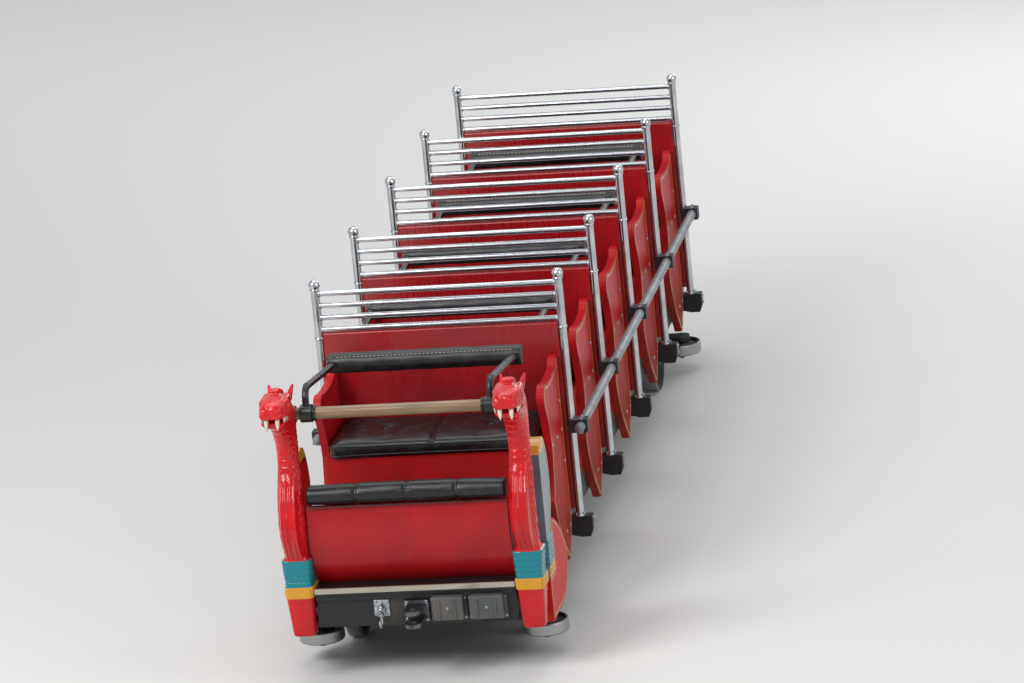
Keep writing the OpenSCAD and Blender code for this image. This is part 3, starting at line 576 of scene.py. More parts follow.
def evaluated(mesh, name, add_modifiers):
    """The mesh after the modifiers that add_modifiers puts on a passing object."""
    holder = bpy.data.objects.new(name, mesh)
    bpy.context.collection.objects.link(holder)
    add_modifiers(holder)
    bpy.context.view_layer.update()
    result = bpy.data.meshes.new_from_object(holder.evaluated_get(bpy.context.evaluated_depsgraph_get()))
    bpy.data.objects.remove(holder)
    result.name = name
    return result


def remeshed(mesh, name, voxel):
    """The mesh as an even skin of voxels (size in metres), smoothed twice."""

    def add(obj):
        m = obj.modifiers.new("remesh", "REMESH")
        m.mode, m.voxel_size = "VOXEL", voxel
        m = obj.modifiers.new("smooth", "SMOOTH")
        m.factor, m.iterations = 0.5, 2

    return evaluated(mesh, name, add)


def points_of(mesh):
    co = np.empty(len(mesh.vertices) * 3, np.float32)
    mesh.vertices.foreach_get("co", co)
    return co.reshape(-1, 3).astype(float)


def normals_of(mesh):
    n = np.empty(len(mesh.vertices) * 3, np.float32)
    mesh.vertices.foreach_get("normal", n)
    return n.reshape(-1, 3).astype(float)


def put_points(mesh, co):
    mesh.vertices.foreach_set("co", np.asarray(co, np.float32).ravel())
    mesh.update()


def mirrored_mesh(mesh, name):
    """The same piece on the other side of the car."""
    bm = bmesh.new()
    bm.from_mesh(mesh)
    bmesh.ops.scale(bm, vec=(-1, 1, 1), verts=bm.verts)
    bmesh.ops.reverse_faces(bm, faces=bm.faces)
    return to_mesh(bm, name)


def moved_mesh(mesh, shift, name):
    """A copy of a piece somewhere else."""
    copy = mesh.copy()
    copy.name = name
    put_points(copy, points_of(copy) + np.array(shift))
    return copy


def joined(meshes, name):
    """Several pieces as one mesh."""
    bm = bmesh.new()
    for mesh in meshes:
        bm.from_mesh(mesh)
    return to_mesh(bm, name)


def with_twin(mesh, name):
    """A piece on the right of the car and its twin on the left, as one mesh."""
    return joined([mesh, mirrored_mesh(mesh, "twin")], name)


def box_mesh(lo, hi, name, corner_mm):
    """A closed box in metres with rounded corners."""
    bm = bmesh.new()
    bmesh.ops.create_cube(bm, size=1.0)
    for v in bm.verts:
        v.co = Vector(lo[k] if v.co[k] < 0 else hi[k] for k in range(3))
    bmesh.ops.bevel(bm, geom=bm.edges[:], offset=corner_mm * MM, segments=3, affect="EDGES", profile=0.5)
    return to_mesh(bm, name, outward=True)


def rod_mesh(half, radius, name):
    """A closed round bar across the car through the origin, in metres."""
    bm = bmesh.new()
    bmesh.ops.create_cone(bm, cap_ends=True, segments=40, radius1=radius, radius2=radius, depth=2 * half,
                          matrix=Matrix.Rotation(math.pi / 2, 4, "Y"))
    return to_mesh(bm, name, outward=True)


def circle(centre, a, b, radius, sides):
    """Points round a circle that lies in the directions a and b."""
    turns = (2 * math.pi * i / sides for i in range(sides))
    return [centre + (a * math.cos(t) + b * math.sin(t)) * radius for t in turns]


def tube_walls(bm, rings):
    """Faces between rings of points, one after the other."""
    for r0, r1 in zip(rings, rings[1:]):
        for i in range(len(r0)):
            k = (i + 1) % len(r0)
            bm.faces.new((r0[i], r0[k], r1[k], r1[i]))


def horn(points, radii, sides, name):
    """A closed tapering tube along points, with radii, all in mm from the figurehead's foot."""
    bm = bmesh.new()
    rings = []
    path = [Vector(p) for p in points]
    for k, (p, r) in enumerate(zip(path, radii)):
        along = (path[min(k + 1, len(path) - 1)] - path[max(k - 1, 0)]).normalized()
        a = along.orthogonal().normalized()
        rings.append([bm.verts.new(q * MM + FIG_FOOT) for q in circle(p, a, along.cross(a), r, sides)])
    tube_walls(bm, rings)
    bm.faces.new(rings[0])
    bm.faces.new(rings[-1])
    return to_mesh(bm, name, outward=True)


def rod_along(points, radius, name, closed=True):
    """A round welt or rod along points, all in metres."""
    sides = 10
    bm = bmesh.new()
    pts = [Vector(p) for p in points]
    n = len(pts)
    rings = []
    side = None
    for k in range(n):
        ahead = pts[(k + 1) % n] if closed or k < n - 1 else pts[k]
        behind = pts[k - 1] if closed or k > 0 else pts[k]
        along = (ahead - behind).normalized()
        side = along.orthogonal() if side is None else side - along * side.dot(along)
        side.normalize()
        rings.append([bm.verts.new(q) for q in circle(pts[k], side, along.cross(side), radius, sides)])
    tube_walls(bm, rings)
    first, last = rings[0], rings[-1]
    if closed:
        # the last ring may have turned on the way round, so it meets the first at its nearest point
        turn = min(range(sides), key=lambda t: (first[t].co - last[0].co).length)
        onward = (first[(turn + 1) % sides].co - last[1].co).length
        backward = (first[(turn - 1) % sides].co - last[1].co).length
        way = 1 if onward < backward else -1
        for i in range(sides):
            a, b = first[(turn + way * i) % sides], first[(turn + way * (i + 1)) % sides]
            bm.faces.new((last[i], last[(i + 1) % sides], b, a))
    else:
        bm.faces.new(first)
        bm.faces.new(last)
    return to_mesh(bm, name, outward=True)


def bump_at(distance, reach):
    """1 at no distance, fading smoothly to 0 at reach."""
    t = np.clip(1 - np.abs(distance) / reach, 0, 1)
    return t * t * (3 - 2 * t)


def groove(phase, sharp):
    """A row of carved hollows between ridges: 1 in the hollows, 0 on the ridges, one per unit of phase."""
    return (0.5 - 0.5 * np.cos(2 * np.pi * phase)) ** sharp


def between(v, a, b, soft):
    """1 from a to b, fading over soft outside."""
    up = np.clip((v - a) / soft + 1, 0, 1)
    down = np.clip((b - v) / soft + 1, 0, 1)
    return (up * up * (3 - 2 * up)) * (down * down * (3 - 2 * down))


# Geometry Nodes trees
def group(name, numbers):
    """An empty modifier tree: geometry in and out, numbers with their defaults, and a finish."""
    tree = bpy.data.node_groups.new(name, "GeometryNodeTree")
    face = tree.interface
    face.new_socket("Geometry", in_out="INPUT", socket_type="NodeSocketGeometry")
    for label, value in numbers.items():
        kind = "NodeSocketInt" if isinstance(value, int) else "NodeSocketFloat"
        face.new_socket(label, in_out="INPUT", socket_type=kind).default_value = value
    face.new_socket("Finish", in_out="INPUT", socket_type="NodeSocketMaterial")
    face.new_socket("Geometry", in_out="OUTPUT", socket_type="NodeSocketGeometry")
    return tree, node(tree, "NodeGroupInput", out=None)


def finished(tree, geometry, finish):
    """Ends a tree: real geometry, its finish, the output."""
    real = node(tree, "GeometryNodeRealizeInstances", {0: geometry})
    dressed = node(tree, "GeometryNodeSetMaterial", {"Geometry": real, "Material": finish})
    feed(tree.nodes.new("NodeGroupOutput"), {0: dressed})


def lifted(tree, shape, height, turn=0.0):
    """A shape raised by a height, after a turn about X."""
    up = node(tree, "ShaderNodeCombineXYZ", {"Z": height})
    placed = {"Geometry": shape, "Translation": up, "Rotation": (turn, 0, 0)}
    return node(tree, "GeometryNodeTransform", placed)


def place_all(tree, inp, shape):
    """Puts the shape at every point, its Z along the point's facing, and ends the tree."""
    facing = node(tree, "GeometryNodeInputNamedAttribute", {"Name": "facing"}, data_type="FLOAT_VECTOR")
    turn = node(tree, "FunctionNodeAlignRotationToVector", {"Vector": facing}, axis="Z")
    points = {"Points": inp["Geometry"], "Instance": shape, "Rotation": turn}
    finished(tree, node(tree, "GeometryNodeInstanceOnPoints", points), inp["Finish"])


def bolt_tree():
    """A hexagon head on a washer at every point, square to the point's facing."""
    tree, inp = group("hexagon_bolts", {"Head Width": 0.012, "Head Height": 0.005, "Washer": 0.008})
    half = node(tree, "ShaderNodeMath", {0: inp["Head Width"], 1: 0.5}, operation="MULTIPLY")
    thin = node(tree, "ShaderNodeMath", {0: inp["Head Height"], 1: 0.3}, operation="MULTIPLY")
    body = node(tree, "ShaderNodeMath", {0: inp["Head Height"], 1: 0.75}, operation="MULTIPLY")
    mid_body = node(tree, "ShaderNodeMath", {0: body, 1: 0.5}, operation="MULTIPLY")
    chamfer = node(tree, "ShaderNodeMath", {0: half, 1: 0.8}, operation="MULTIPLY")
    head = {"Vertices": 6, "Radius": half, "Depth": body}
    crown = {"Vertices": 12, "Radius Bottom": half, "Radius Top": chamfer, "Depth": thin}
    washer = {"Vertices": 16, "Radius Bottom": inp["Washer"], "Radius Top": half, "Depth": thin}
    parts = [node(tree, "GeometryNodeMeshCone", washer),
             lifted(tree, node(tree, "GeometryNodeMeshCylinder", head), mid_body),
             lifted(tree, node(tree, "GeometryNodeMeshCone", crown), body)]
    place_all(tree, inp, node(tree, "GeometryNodeJoinGeometry", {0: parts}))
    return tree


def dome_tree():
    """A low domed head at every point, square to its facing: coach bolts, nails, beads and stitches."""
    tree, inp = group("domed_heads", {"Radius": 0.006, "Flatness": 0.5, "Sides": 12, "Rings": 8})
    ball = {"Segments": inp["Sides"], "Rings": inp["Rings"], "Radius": inp["Radius"]}
    scale = node(tree, "ShaderNodeCombineXYZ", {0: 1.0, 1: 1.0, 2: inp["Flatness"]})
    flat = {"Geometry": node(tree, "GeometryNodeMeshUVSphere", ball), "Scale": scale}
    place_all(tree, inp, node(tree, "GeometryNodeTransform", flat))
    return tree


def collar_tree():
    """A short turned ring round a tube at every point, its axis along the point's facing."""
    tree, inp = group("collars", {"Radius": 0.014, "Width": 0.008, "Soft Edge": 0.0015, "Sides": 28})
    small = node(tree, "ShaderNodeMath", {0: inp["Radius"], 1: inp["Soft Edge"]}, operation="SUBTRACT")
    inner = node(tree, "ShaderNodeMath", {0: inp["Width"], 1: inp["Soft Edge"]}, operation="SUBTRACT")
    barrel = {"Vertices": inp["Sides"], "Radius": inp["Radius"], "Depth": inner}
    cone = {"Vertices": inp["Sides"], "Radius Top": small, "Radius Bottom": inp["Radius"],
            "Depth": inp["Soft Edge"]}
    parts = [node(tree, "GeometryNodeMeshCylinder", barrel)]
    for way, turn in ((0.5, 0.0), (-0.5, math.pi)):
        end = node(tree, "ShaderNodeMath", {0: inner, 1: way}, operation="MULTIPLY")
        parts.append(lifted(tree, node(tree, "GeometryNodeMeshCone", cone), end, turn))
    place_all(tree, inp, node(tree, "GeometryNodeJoinGeometry", {0: parts}))
    return tree


def stripe_tree():
    """A painted line of a set width along the edges of a flat path that lies square to X."""
    tree, inp = group("edge_lines", {"Width": 0.007, "Height": 0.0016})
    line = node(tree, "GeometryNodeMeshToCurve", {0: inp["Geometry"]})
    square = node(tree, "GeometryNodeSetCurveNormal", {"Curve": line, "Normal": RIGHT}, mode="FREE")
    section = {"Width": inp["Height"], "Height": inp["Width"]}
    profile = node(tree, "GeometryNodeCurvePrimitiveQuadrilateral", section)
    stripe = node(tree, "GeometryNodeCurveToMesh", {"Curve": square, "Profile Curve": profile})
    finished(tree, stripe, inp["Finish"])
    return tree


_trees = {}


def grown_mesh(name, points, maker, finish, facings=None, edges=(), **sizes):
    """Runs a tree over points (in metres) and returns the plain mesh."""
    if maker.__name__ not in _trees:
        _trees[maker.__name__] = maker()
    tree = _trees[maker.__name__]
    mesh = bpy.data.meshes.new(name)
    mesh.from_pydata([tuple(p) for p in points], list(edges), [])
    if facings is not None:
        attribute = mesh.attributes.new("facing", "FLOAT_VECTOR", "POINT")
        for k, facing in enumerate(facings):
            attribute.data[k].vector = facing

    def add(obj):
        modifier = obj.modifiers.new("grow", "NODES")
        modifier.node_group = tree
        for item in tree.interface.items_tree:
            if item.item_type == "SOCKET" and item.in_out == "INPUT":
                key = item.name.lower().replace(" ", "_")
                if key in sizes:
                    modifier[item.identifier] = sizes[key]
                elif item.name == "Finish":
                    modifier[item.identifier] = finish_of(finish)

    result = evaluated(mesh, name, add)
    if "facing" in result.attributes:
        result.attributes.remove(result.attributes["facing"])
    return result


def grown_piece(name, spots, maker, finish, body, slot_name, smooth=False, **sizes):
    """A finished piece of one tree at spots, a list of (point in mm, facing)."""
    points, facings = [Vector(p) * MM for p, f in spots], [f for p, f in spots]
    mesh = grown_mesh(name, points, maker, finish, facings, **sizes)
    return new_piece(name, mesh, finish, body, smooth)


def both_sides(spots):
    """The same spots on the left and the right of the car."""
    return [((sx * p[0], p[1], p[2]), (sx * f[0], f[1], f[2])) for p, f in spots for sx in (1, -1)]


def hexagon(across, height, washer):
    """The sizes of a hexagon bolt, given in millimetres: width and height of the head, washer radius."""
    return {"head_width": across * MM, "head_height": height * MM, "washer": washer * MM}


def dome(radius, flatness, sides=12):
    """The sizes of a domed head: radius in millimetres, height as a share of it."""
    return {"radius": radius * MM, "flatness": flatness, "sides": sides}


def collar(radius, width, soft_edge):
    """The sizes of a turned ring, given in millimetres."""
    return {"radius": radius * MM, "width": width * MM, "soft_edge": soft_edge * MM}


# Stage and finishes
class COASTER_OT_stage(bpy.types.Operator):
    """Floor, soft lamps and the camera at the photograph's angle"""

    bl_idname = "coaster.stage"
    bl_label = "Stage"

    def execute(self, context):
        s = context.scene.coaster_stage
        floor = bpy.data.objects.new("floor", bpy.data.meshes.new("floor"))
        reach = 60.0
        corners = [(x * reach, y * reach, 0) for x, y in ((-1, -1), (1, -1), (1, 1), (-1, 1))]
        floor.data.from_pydata(corners, [], [(0, 1, 2, 3)])
        context.collection.objects.link(floor)
        # away from the lamps the floor is lifted for the eye and for reflections alone, so it stays pale
        mat, tree, coords, shader = blank("matt_floor_paint")
        lit_middle, lit_reach, dark_reach, most_lift = (-2.0, -4.0, 0.0), 5.0, 14.0, 0.3
        spread = {0: coords, 1: lit_middle}
        away = node(tree, "ShaderNodeVectorMath", spread, out="Value", operation="DISTANCE")
        rise = {"Value": away, "From Min": lit_reach, "From Max": dark_reach, "To Max": most_lift}
        lift = node(tree, "ShaderNodeMapRange", rise, interpolation_type="SMOOTHSTEP")
        seen = node(tree, "ShaderNodeMath", {0: lift, 1: looked_at(tree)}, operation="MULTIPLY")
        feed(shader, {"Base Color": s.floor, "Roughness": 0.9, "Emission Color": "#f2f2f0",
                      "Emission Strength": seen})
        floor.data.materials.append(mat)

        world = bpy.data.worlds.new("soft_sky")
        context.scene.world = world
        world.use_nodes = True
        tree = world.node_tree
        level = {"Value": looked_at(tree), "To Min": s.sky_level, "To Max": s.sky_level + 0.3}
        strength = node(tree, "ShaderNodeMapRange", level)
        feed(tree.nodes["Background"], {"Color": s.sky, "Strength": strength})
        target = Vector((0, 0, 0.6))
        for name, place, size, watts in (
            ("key_softbox", (-4.0, -7.0, 6.5), 4.0, 520),
            ("fill_softbox", (7.0, -4.0, 4.0), 5.0, 170),
            ("top_softbox", (0.0, 1.0, 8.0), 6.0, 230),
            ("back_softbox", (3.0, 8.0, 4.5), 4.0, 130),
        ):
            lamp = bpy.data.lights.new(name, "AREA")
            lamp.shape, lamp.size, lamp.energy = "SQUARE", size, watts
            obj = bpy.data.objects.new(name, lamp)
            obj.location = place
            obj.rotation_euler = (target - Vector(place)).to_track_quat("-Z", "Y").to_euler()
            context.collection.objects.link(obj)

        cam = bpy.data.cameras.new("camera")
        cam.sensor_width, cam.lens, cam.clip_end = 36.0, s.lens, 200.0
        eye = bpy.data.objects.new("camera", cam)
        level_look = Vector((-math.sin(s.azimuth), math.cos(s.azimuth), 0))
        look = level_look * math.cos(s.elevation) - Vector((0, 0, math.sin(s.elevation)))
        side = look.cross(Vector(UP)).normalized()
        up = side.cross(look)
        c, q = math.cos(s.roll), math.sin(s.roll)
        turn = Matrix((side * c - up * q, up * c + side * q, -look)).transposed().to_4x4()
        eye.matrix_world = Matrix.Translation(Vector(s.aim) - look * s.distance) @ turn
        context.collection.objects.link(eye)
        context.scene.camera = eye
        context.scene.view_settings.view_transform = "Standard"
        return {"FINISHED"}


class COASTER_OT_finishes(bpy.types.Operator):
    """Gives every carried-over construction piece its finish"""

    bl_idname = "coaster.finishes"
    bl_label = "Finishes"

    def execute(self, context):
        for part in frame["record"]["subparts"]:
            name, slot = part["node"], part["material_slot"]
            obj = frame["nodes"][name]
            if slot == "wheel_iron":
                # a running wheel turns about X, a guide wheel about Z: half its length in Y is its radius
                radius = (high(name) - low(name)).y / 2
                axis = 0 if name.startswith("wheelset") else 2
                mat = rolled_iron(f"rolled_iron_{name}", middle(name), radius, axis)
            else:
                mat = finish_of("shield_red" if name == "nose_cheeks" else slot)
            obj.data.materials.clear()
            obj.data.materials.append(mat)
        return {"FINISHED"}


# Painted lines and bands
def face_loops(cad_name, x):
    """Outlines of the flat faces of a node that lie at x (in metres), as lists of points."""
    bm = merged_copy(cad_name)
    bm.verts.index_update()
    bm.verts.ensure_lookup_table()
    flat = [f for f in bm.faces if abs(f.normal.x) > 0.98 and abs(f.calc_center_median().x - x) < 0.2 * MM]
    inside = set(flat)
    # an edge of the outline has one flat face; a list keeps the order the same in every run
    edges = [e for f in flat for e in f.edges if sum(g in inside for g in e.link_faces) == 1]
    following = {}
    for e in edges:
        for v in e.verts:
            following.setdefault(v.index, []).append(e.other_vert(v).index)
    loops, seen = [], set()
    for start in following:
        if start in seen:
            continue
        loop, here, before = [], start, None
        while here not in seen:
            seen.add(here)
            loop.append(bm.verts[here].co.copy())
            onward = [v for v in following[here] if v != before and v not in seen]
            if not onward:
                break
            before, here = here, onward[0]
        if len(loop) > 3:
            loops.append(np.array(loop))
    bm.free()
    return loops


def resampled(loop, step):
    """Points at even distances round a closed loop."""
    ring = np.vstack([loop, loop[:1]])
    lengths = np.linalg.norm(np.diff(ring, axis=0), axis=1)
    along = np.concatenate([[0], np.cumsum(lengths)])
    at = np.linspace(0, along[-1], max(int(along[-1] / step), 8), endpoint=False)
    return np.stack([np.interp(at, along, ring[:, k]) for k in range(3)], axis=1)


def inset_loop(loop, inset):
    """The loop moved inwards by inset (metres), without the knots that tight corners give."""
    pts = resampled(loop, 4 * MM)
    flat = pts[:, 1:]
    ahead = np.roll(flat, -1, 0) - np.roll(flat, 1, 0)
    ahead /= np.maximum(np.linalg.norm(ahead, axis=1), 1e-9)[:, None]
    area = np.sum(flat[:, 0] * np.roll(flat[:, 1], -1) - np.roll(flat[:, 0], -1) * flat[:, 1])
    inward = np.stack([-ahead[:, 1], ahead[:, 0]], 1) * (1 if area > 0 else -1)
    moved = flat + inward * inset
    gaps = np.linalg.norm(moved[:, None] - flat[None], axis=2).min(axis=1)
    kept = moved[gaps > inset * 0.93]
    ring = np.concatenate([np.full((len(kept), 1), pts[0, 0]), kept], axis=1)
    ring = resampled(ring, 5 * MM)
    for _ in range(3):
        ring = 0.5 * ring + 0.25 * (np.roll(ring, 1, 0) + np.roll(ring, -1, 0))
    return ring


def edge_line(name, rings, finish, width):
    """One mesh of lines along closed rings on both sides of the car."""
    proud_mm = 1.2
    points, edges = [], []
    for ring in rings:
        for sign in (1, -1):
            first = len(points)
            out = ring[:, 0] + 0.3 * proud_mm * MM * np.sign(ring[:, 0])
            points += [(sign * x, y, z) for x, (_, y, z) in zip(out, ring)]
            edges += [(first + k, first + (k + 1) % len(ring)) for k in range(len(ring))]
    mesh = grown_mesh(name, points, stripe_tree, finish, edges=edges, width=width, height=proud_mm * MM)
    return new_piece(name, mesh, finish, CAR, smooth=False)


def extruded_y(outline, y0, y1, name):
    """A closed outline of (x, z) in mm drawn out along the car from y0 to y1 in metres."""
    bm = bmesh.new()
    front = [bm.verts.new((x * MM, y0, z * MM)) for x, z in outline]
    back = [bm.verts.new((x * MM, y1, z * MM)) for x, z in outline]
    tube_walls(bm, [front, back])
    bm.faces.new(front)
    bm.faces.new(back)
    return to_mesh(bm, name, outward=True)


def scooped_rectangle(x0, x1, z0, z1, scoop):
    """Points round a rectangle whose corners are hollowed by quarter circles, anticlockwise."""
    pts = []
    for cx, cz, a0 in ((x1, z1, 270), (x0, z1, 0), (x0, z0, 90), (x1, z0, 180)):
        turns = [math.radians(a0 - d) for d in range(0, 91, 10)]
        pts += [(cx + scoop * math.cos(a), cz + scoop * math.sin(a)) for a in turns]
    return np.array(pts)


def flat_line(path, y, width, proud, name):
    """A line of a set width along a closed path of (x, z), on a face at y that looks to the rear."""
    ahead = np.roll(path, -1, 0) - np.roll(path, 1, 0)
    ahead /= np.linalg.norm(ahead, axis=1)[:, None]
    across = np.stack([-ahead[:, 1], ahead[:, 0]], 1) * width / 2
    sunk, raised = y - proud * 0.3, y + proud
    bm = bmesh.new()
    rings = [[bm.verts.new((x, depth, z)) for x, z in path + sign * across]
             for sign, depth in ((1, sunk), (1, raised), (-1, raised), (-1, sunk))]
    tube_walls(bm, rings + rings[:1])
    return to_mesh(bm, name, outward=True)


class COASTER_OT_painted_lines(bpy.types.Operator):
    """Cream and gold lines inside the edges of the bench ends, shield boards, nose posts and seat backs"""

    bl_idname = "coaster.painted_lines"
    bl_label = "Painted lines"

    def execute(self, context):
        s = context.scene.coaster_sizes
        # the boards at the nose are narrower than the benches, so their lines lie closer to the edge
        shield_inset, post_inset = s.line_inset - 2 * MM, s.line_inset - 4 * MM
        wide, narrow = s.line_width, s.line_width - 1 * MM
        benches = [f"bench_{i}" for i in ROWS]
        for name, nodes, inset, width, finish, slot_name in (
            ("bench_end_lines", benches, s.line_inset, wide, "line_gold", "bench_red"),
            ("shield_lines", ["nose_cheeks"], shield_inset, wide, "line_gold", "bench_red"),
            ("nose_post_lines", ["nose_posts"], post_inset, narrow, "line_cream", "blue_grey_paint"),
        ):
            rings = [inset_loop(loop, inset) for cad in nodes for loop in face_loops(cad, high(cad).x)]
            edge_line(name, rings, finish, width)
        side_inset, foot_inset, head_inset, scoop = 62 * MM, 60 * MM, 52 * MM, 34 * MM
        panels = []
        for i in ROWS:
            lo, hi = low(f"seat_back_{i}"), high(f"seat_back_{i}")
            x = hi.x - side_inset
            path = scooped_rectangle(-x, x, lo.z + foot_inset, hi.z - head_inset, scoop)
            panels.append(flat_line(path, hi.y, s.line_width - 0.5 * MM, 1 * MM, "panel line"))
        lines = joined(panels, "seat_back_lines")
        new_piece("seat_back_lines", lines, "line_gold", CAR, smooth=False)
        return {"FINISHED"}


class COASTER_OT_nose_bands(bpy.types.Operator):
    """Carries the figureheads' teal and gold bands round onto the painted posts behind them"""

    bl_idname = "coaster.nose_bands"
    bl_label = "Nose bands"

    def execute(self, context):
        face = mm(high("nose_posts").x)
        gold_foot, teal_foot, teal_head = (mm(FIG_FOOT.z) + z for z in BAND_MM)
        y0 = low("nose_posts").y + 0.5 * MM
        y1 = y0 + 114 * MM
        # five rounded reeds in teal, and a flat gold band with a lip at its foot and its head.
        # Each outline is of (out from the post's face, height)
        reeds = 5
        reed_mm = (teal_head - teal_foot) / reeds
        reed = ((1.2, 0), (4.2, 4), (5, 10.5), (4.2, 17))
        teal = [(face - 2, teal_foot)]
        teal += [(face + out, teal_foot + 1 + reed_mm * k + up) for k in range(reeds) for out, up in reed]
        teal += [(face + 1.2, teal_head + 0.5), (face - 2, teal_head + 0.5)]
        lip = ((-2, 1), (2.2, 1), (3.4, 6), (2.4, 9))
        gold = [(face + out, gold_foot + up) for out, up in lip]
        gold += [(face + out, teal_foot - up) for out, up in reversed(lip)]
        for outline, finish in ((teal, "teal"), (gold, "gold")):
            label = f"{finish}_band_returns"
            pair = with_twin(extruded_y(outline, y0, y1, label), label)
            new_piece(label, pair, finish, CAR, smooth=False)
        bead_z, bead_pitch = (gold_foot + teal_foot) / 2, 14
        beads = [((face + 2.2, mm(y0) + 8 + bead_pitch * k, bead_z), RIGHT) for k in range(8)]
        grown_piece("gold_band_beads", both_sides(beads), dome_tree, "gold", CAR, "carved_red", True,
                    **dome(6, 0.62, 16))
        return {"FINISHED"}


# Figureheads
def scales(u, v):
    """Overlapping feather scales, tips down, in rows one unit apart.
    0 at a tip, 1 where the next row covers it."""
    wide, tall = 0.66, 1.5
    rise = np.ones(len(u))
    bare = np.ones(len(u), bool)
    for up in (2, 1, 0):
        row = np.floor(v) + up
        shift = 0.5 * np.mod(row, 2)
        middle_u = np.round(u - shift) + shift
        d = np.hypot((u - middle_u) / wide, (v - row) / tall)
        here = bare & (d < 1) & (v <= row)
        rise[here] = 1 - d[here] ** 2
        bare &= ~here
    return rise


def carve_figurehead(mesh):
    """Cuts flutes, scales, mane, brows, nostrils and lips into the figurehead, in mm from its foot."""
    p = (points_of(mesh) - np.array(FIG_FOOT)) / MM
    n = normals_of(mesh)
    x, y, z = p.T
    side = np.abs(x)
    cut = np.zeros(len(p))
    front = np.clip(-n[:, 1], 0, 1)
    # heights at which the parts of the carving start and end
    breast, throat, flanks, crest = (322, 596), (640, 838), (334, 842), (610, 985)
    # middle line of the chest and neck, and how far round the neck a point lies, in degrees
    neck_z = [306, 350, 395, 440, 490, 545, 600, 650, 700, 750, 800, 845]
    neck_y = [44, 20, 6, 0, 4, 16, 34, 50, 57, 55, 44, 24]
    axis_y = np.interp(z, neck_z, neck_y)
    round_neck = np.degrees(np.arctan2(side, -(y - axis_y)))
    face = between(round_neck, -10, 34, 14)
    flank = np.clip(np.abs(n[:, 0]) * 1.3, 0, 1)
    # breast: tapering flutes from the band to the throat, then level plates up to the jaw
    lane = x / (50 - 0.02 * np.abs(z - 430)) * 2.6
    cut += 3.6 * groove(lane + 0.5, 1.1) * between(z, *breast, 22) * face
    plate = np.mod((z - throat[0]) / 25.0, 1.0)
    cut += 2.8 * (1 - plate) ** 2 * between(z, *throat, 12) * face
    # flanks and back: feather scales, smaller as the neck narrows
    scale_width = np.interp(z, [330, 840], [21, 25])
    rows_up = np.interp(z, [330, 480, 650, 840], [0, 5.0, 11.4, 20.0])
    cut += 3.3 * scales(round_neck / scale_width, rows_up) * between(z, *flanks, 10) * (1 - face)
    # mane on the crest: slanting locks that end in its scallops
    lock = (z * 0.55 + y * 0.9) / 21
    nape = np.clip((y - 20 + (z - 880) * 0.6) / 20, 0, 1)
    cut += 2.2 * groove(lock, 1.2) * between(side, 10, 24, 5) * between(z, *crest, 20) * nape
    # brows: two grooves that follow the brow over the eye
    ex, ey, ez = EYE_MM
    eye = np.sqrt((side - ex) ** 2 + (y - ey) ** 2 + (z - ez) ** 2)
    cut -= 3.2 * bump_at(eye - 20, 6) * between(z, ez - 30, ez + 24, 6)
    cut += 3.0 * bump_at(eye - 28, 6) * between(z, ez - 14, ez + 40, 8)
    # wrinkles along the muzzle, deeper on its sides
    snout = between(y, -138, -84, 12) * between(z, 896, 960, 8)
    cut += 1.8 * groove((y + 84) / 15, 1.4) * snout * np.clip(side / 40, 0, 1)
    # nostrils and the flare round them
    nose = np.sqrt((side - 22) ** 2 + (y + 158) ** 2 + (z - 938) ** 2)
    cut += 7.0 * bump_at(nose, 10)
    cut -= 2.6 * bump_at(nose - 14, 6)
    # lips: a bead over the mouth and under it
    lip = between(y, -170, -66, 8)
    cut -= 2.4 * bump_at(z - 912, 6) * lip * between(side, 14, 70, 6)
    cut -= 2.0 * bump_at(z - 872, 6) * between(y, -132, -66, 8)
    # cheek scroll behind the mouth: a carved spiral
    cy, cz = y + 22, z - 882
    r = np.sqrt(cy**2 + cz**2)
    turn = np.arctan2(cz, cy) / (2 * np.pi)
    cut += 2.8 * groove(r / 13 - turn, 1.3) * between(r, 5, 33, 4) * flank
    # foot: a sunk panel with a raised frame on its front
    forward = np.clip(front * 2 - 1, 0, 1)
    uprights = bump_at(side - 30, 4) * between(z, 26, 128, 4)
    ends = (bump_at(z - 22, 4) + bump_at(z - 132, 4)) * between(side, 0, 32, 3)
    cut += 2.2 * (uprights + ends) * forward
    # gold band: a row of beads round it
    bead_pitch = 14.0
    bead = 0.5 + 0.5 * np.cos(2 * np.pi * np.where(np.abs(n[:, 1]) > 0.7, x, y - 46) / bead_pitch)
    cut += 3.2 * (1 - bead ** 0.6) * between(z, 164, 190, 3)
    # marks of the gouge everywhere
    cut += 0.35 * np.sin(x * 0.43 + z * 0.11) * np.sin(z * 0.21 + y * 0.17)
    deepest, proudest = 6.5, -2.0
    cut = np.minimum(cut, deepest)
    # the back that lies on the corner post and the seat of the hand bar keep the solid's own faces
    cut = np.where((y > 70) & (z < 560), np.maximum(cut, 0) * 0.2, cut)
    bar_seat = (x < -30) & (np.abs(z - 860) < 42) & (np.abs(y - 52) < 40)
    cut = np.where(bar_seat, 0, cut)
    moved = p - n * np.maximum(cut, proudest)[:, None]
    put_points(mesh, moved * MM + np.array(FIG_FOOT))


def figurehead_eyes():
    """Glass-bright gold eyes with dark slit pupils, set under carved lids."""
    bm = bmesh.new()
    ex, ey, ez = EYE_MM
    for sign in (1, -1):
        place = FIG_FOOT + Vector((sign * (ex - 1.6), ey, ez)) * MM
        bmesh.ops.create_uvsphere(bm, u_segments=24, v_segments=14, radius=15 * MM,
                                  matrix=Matrix.Translation(place))
    return to_mesh(bm, "figurehead_eyes")


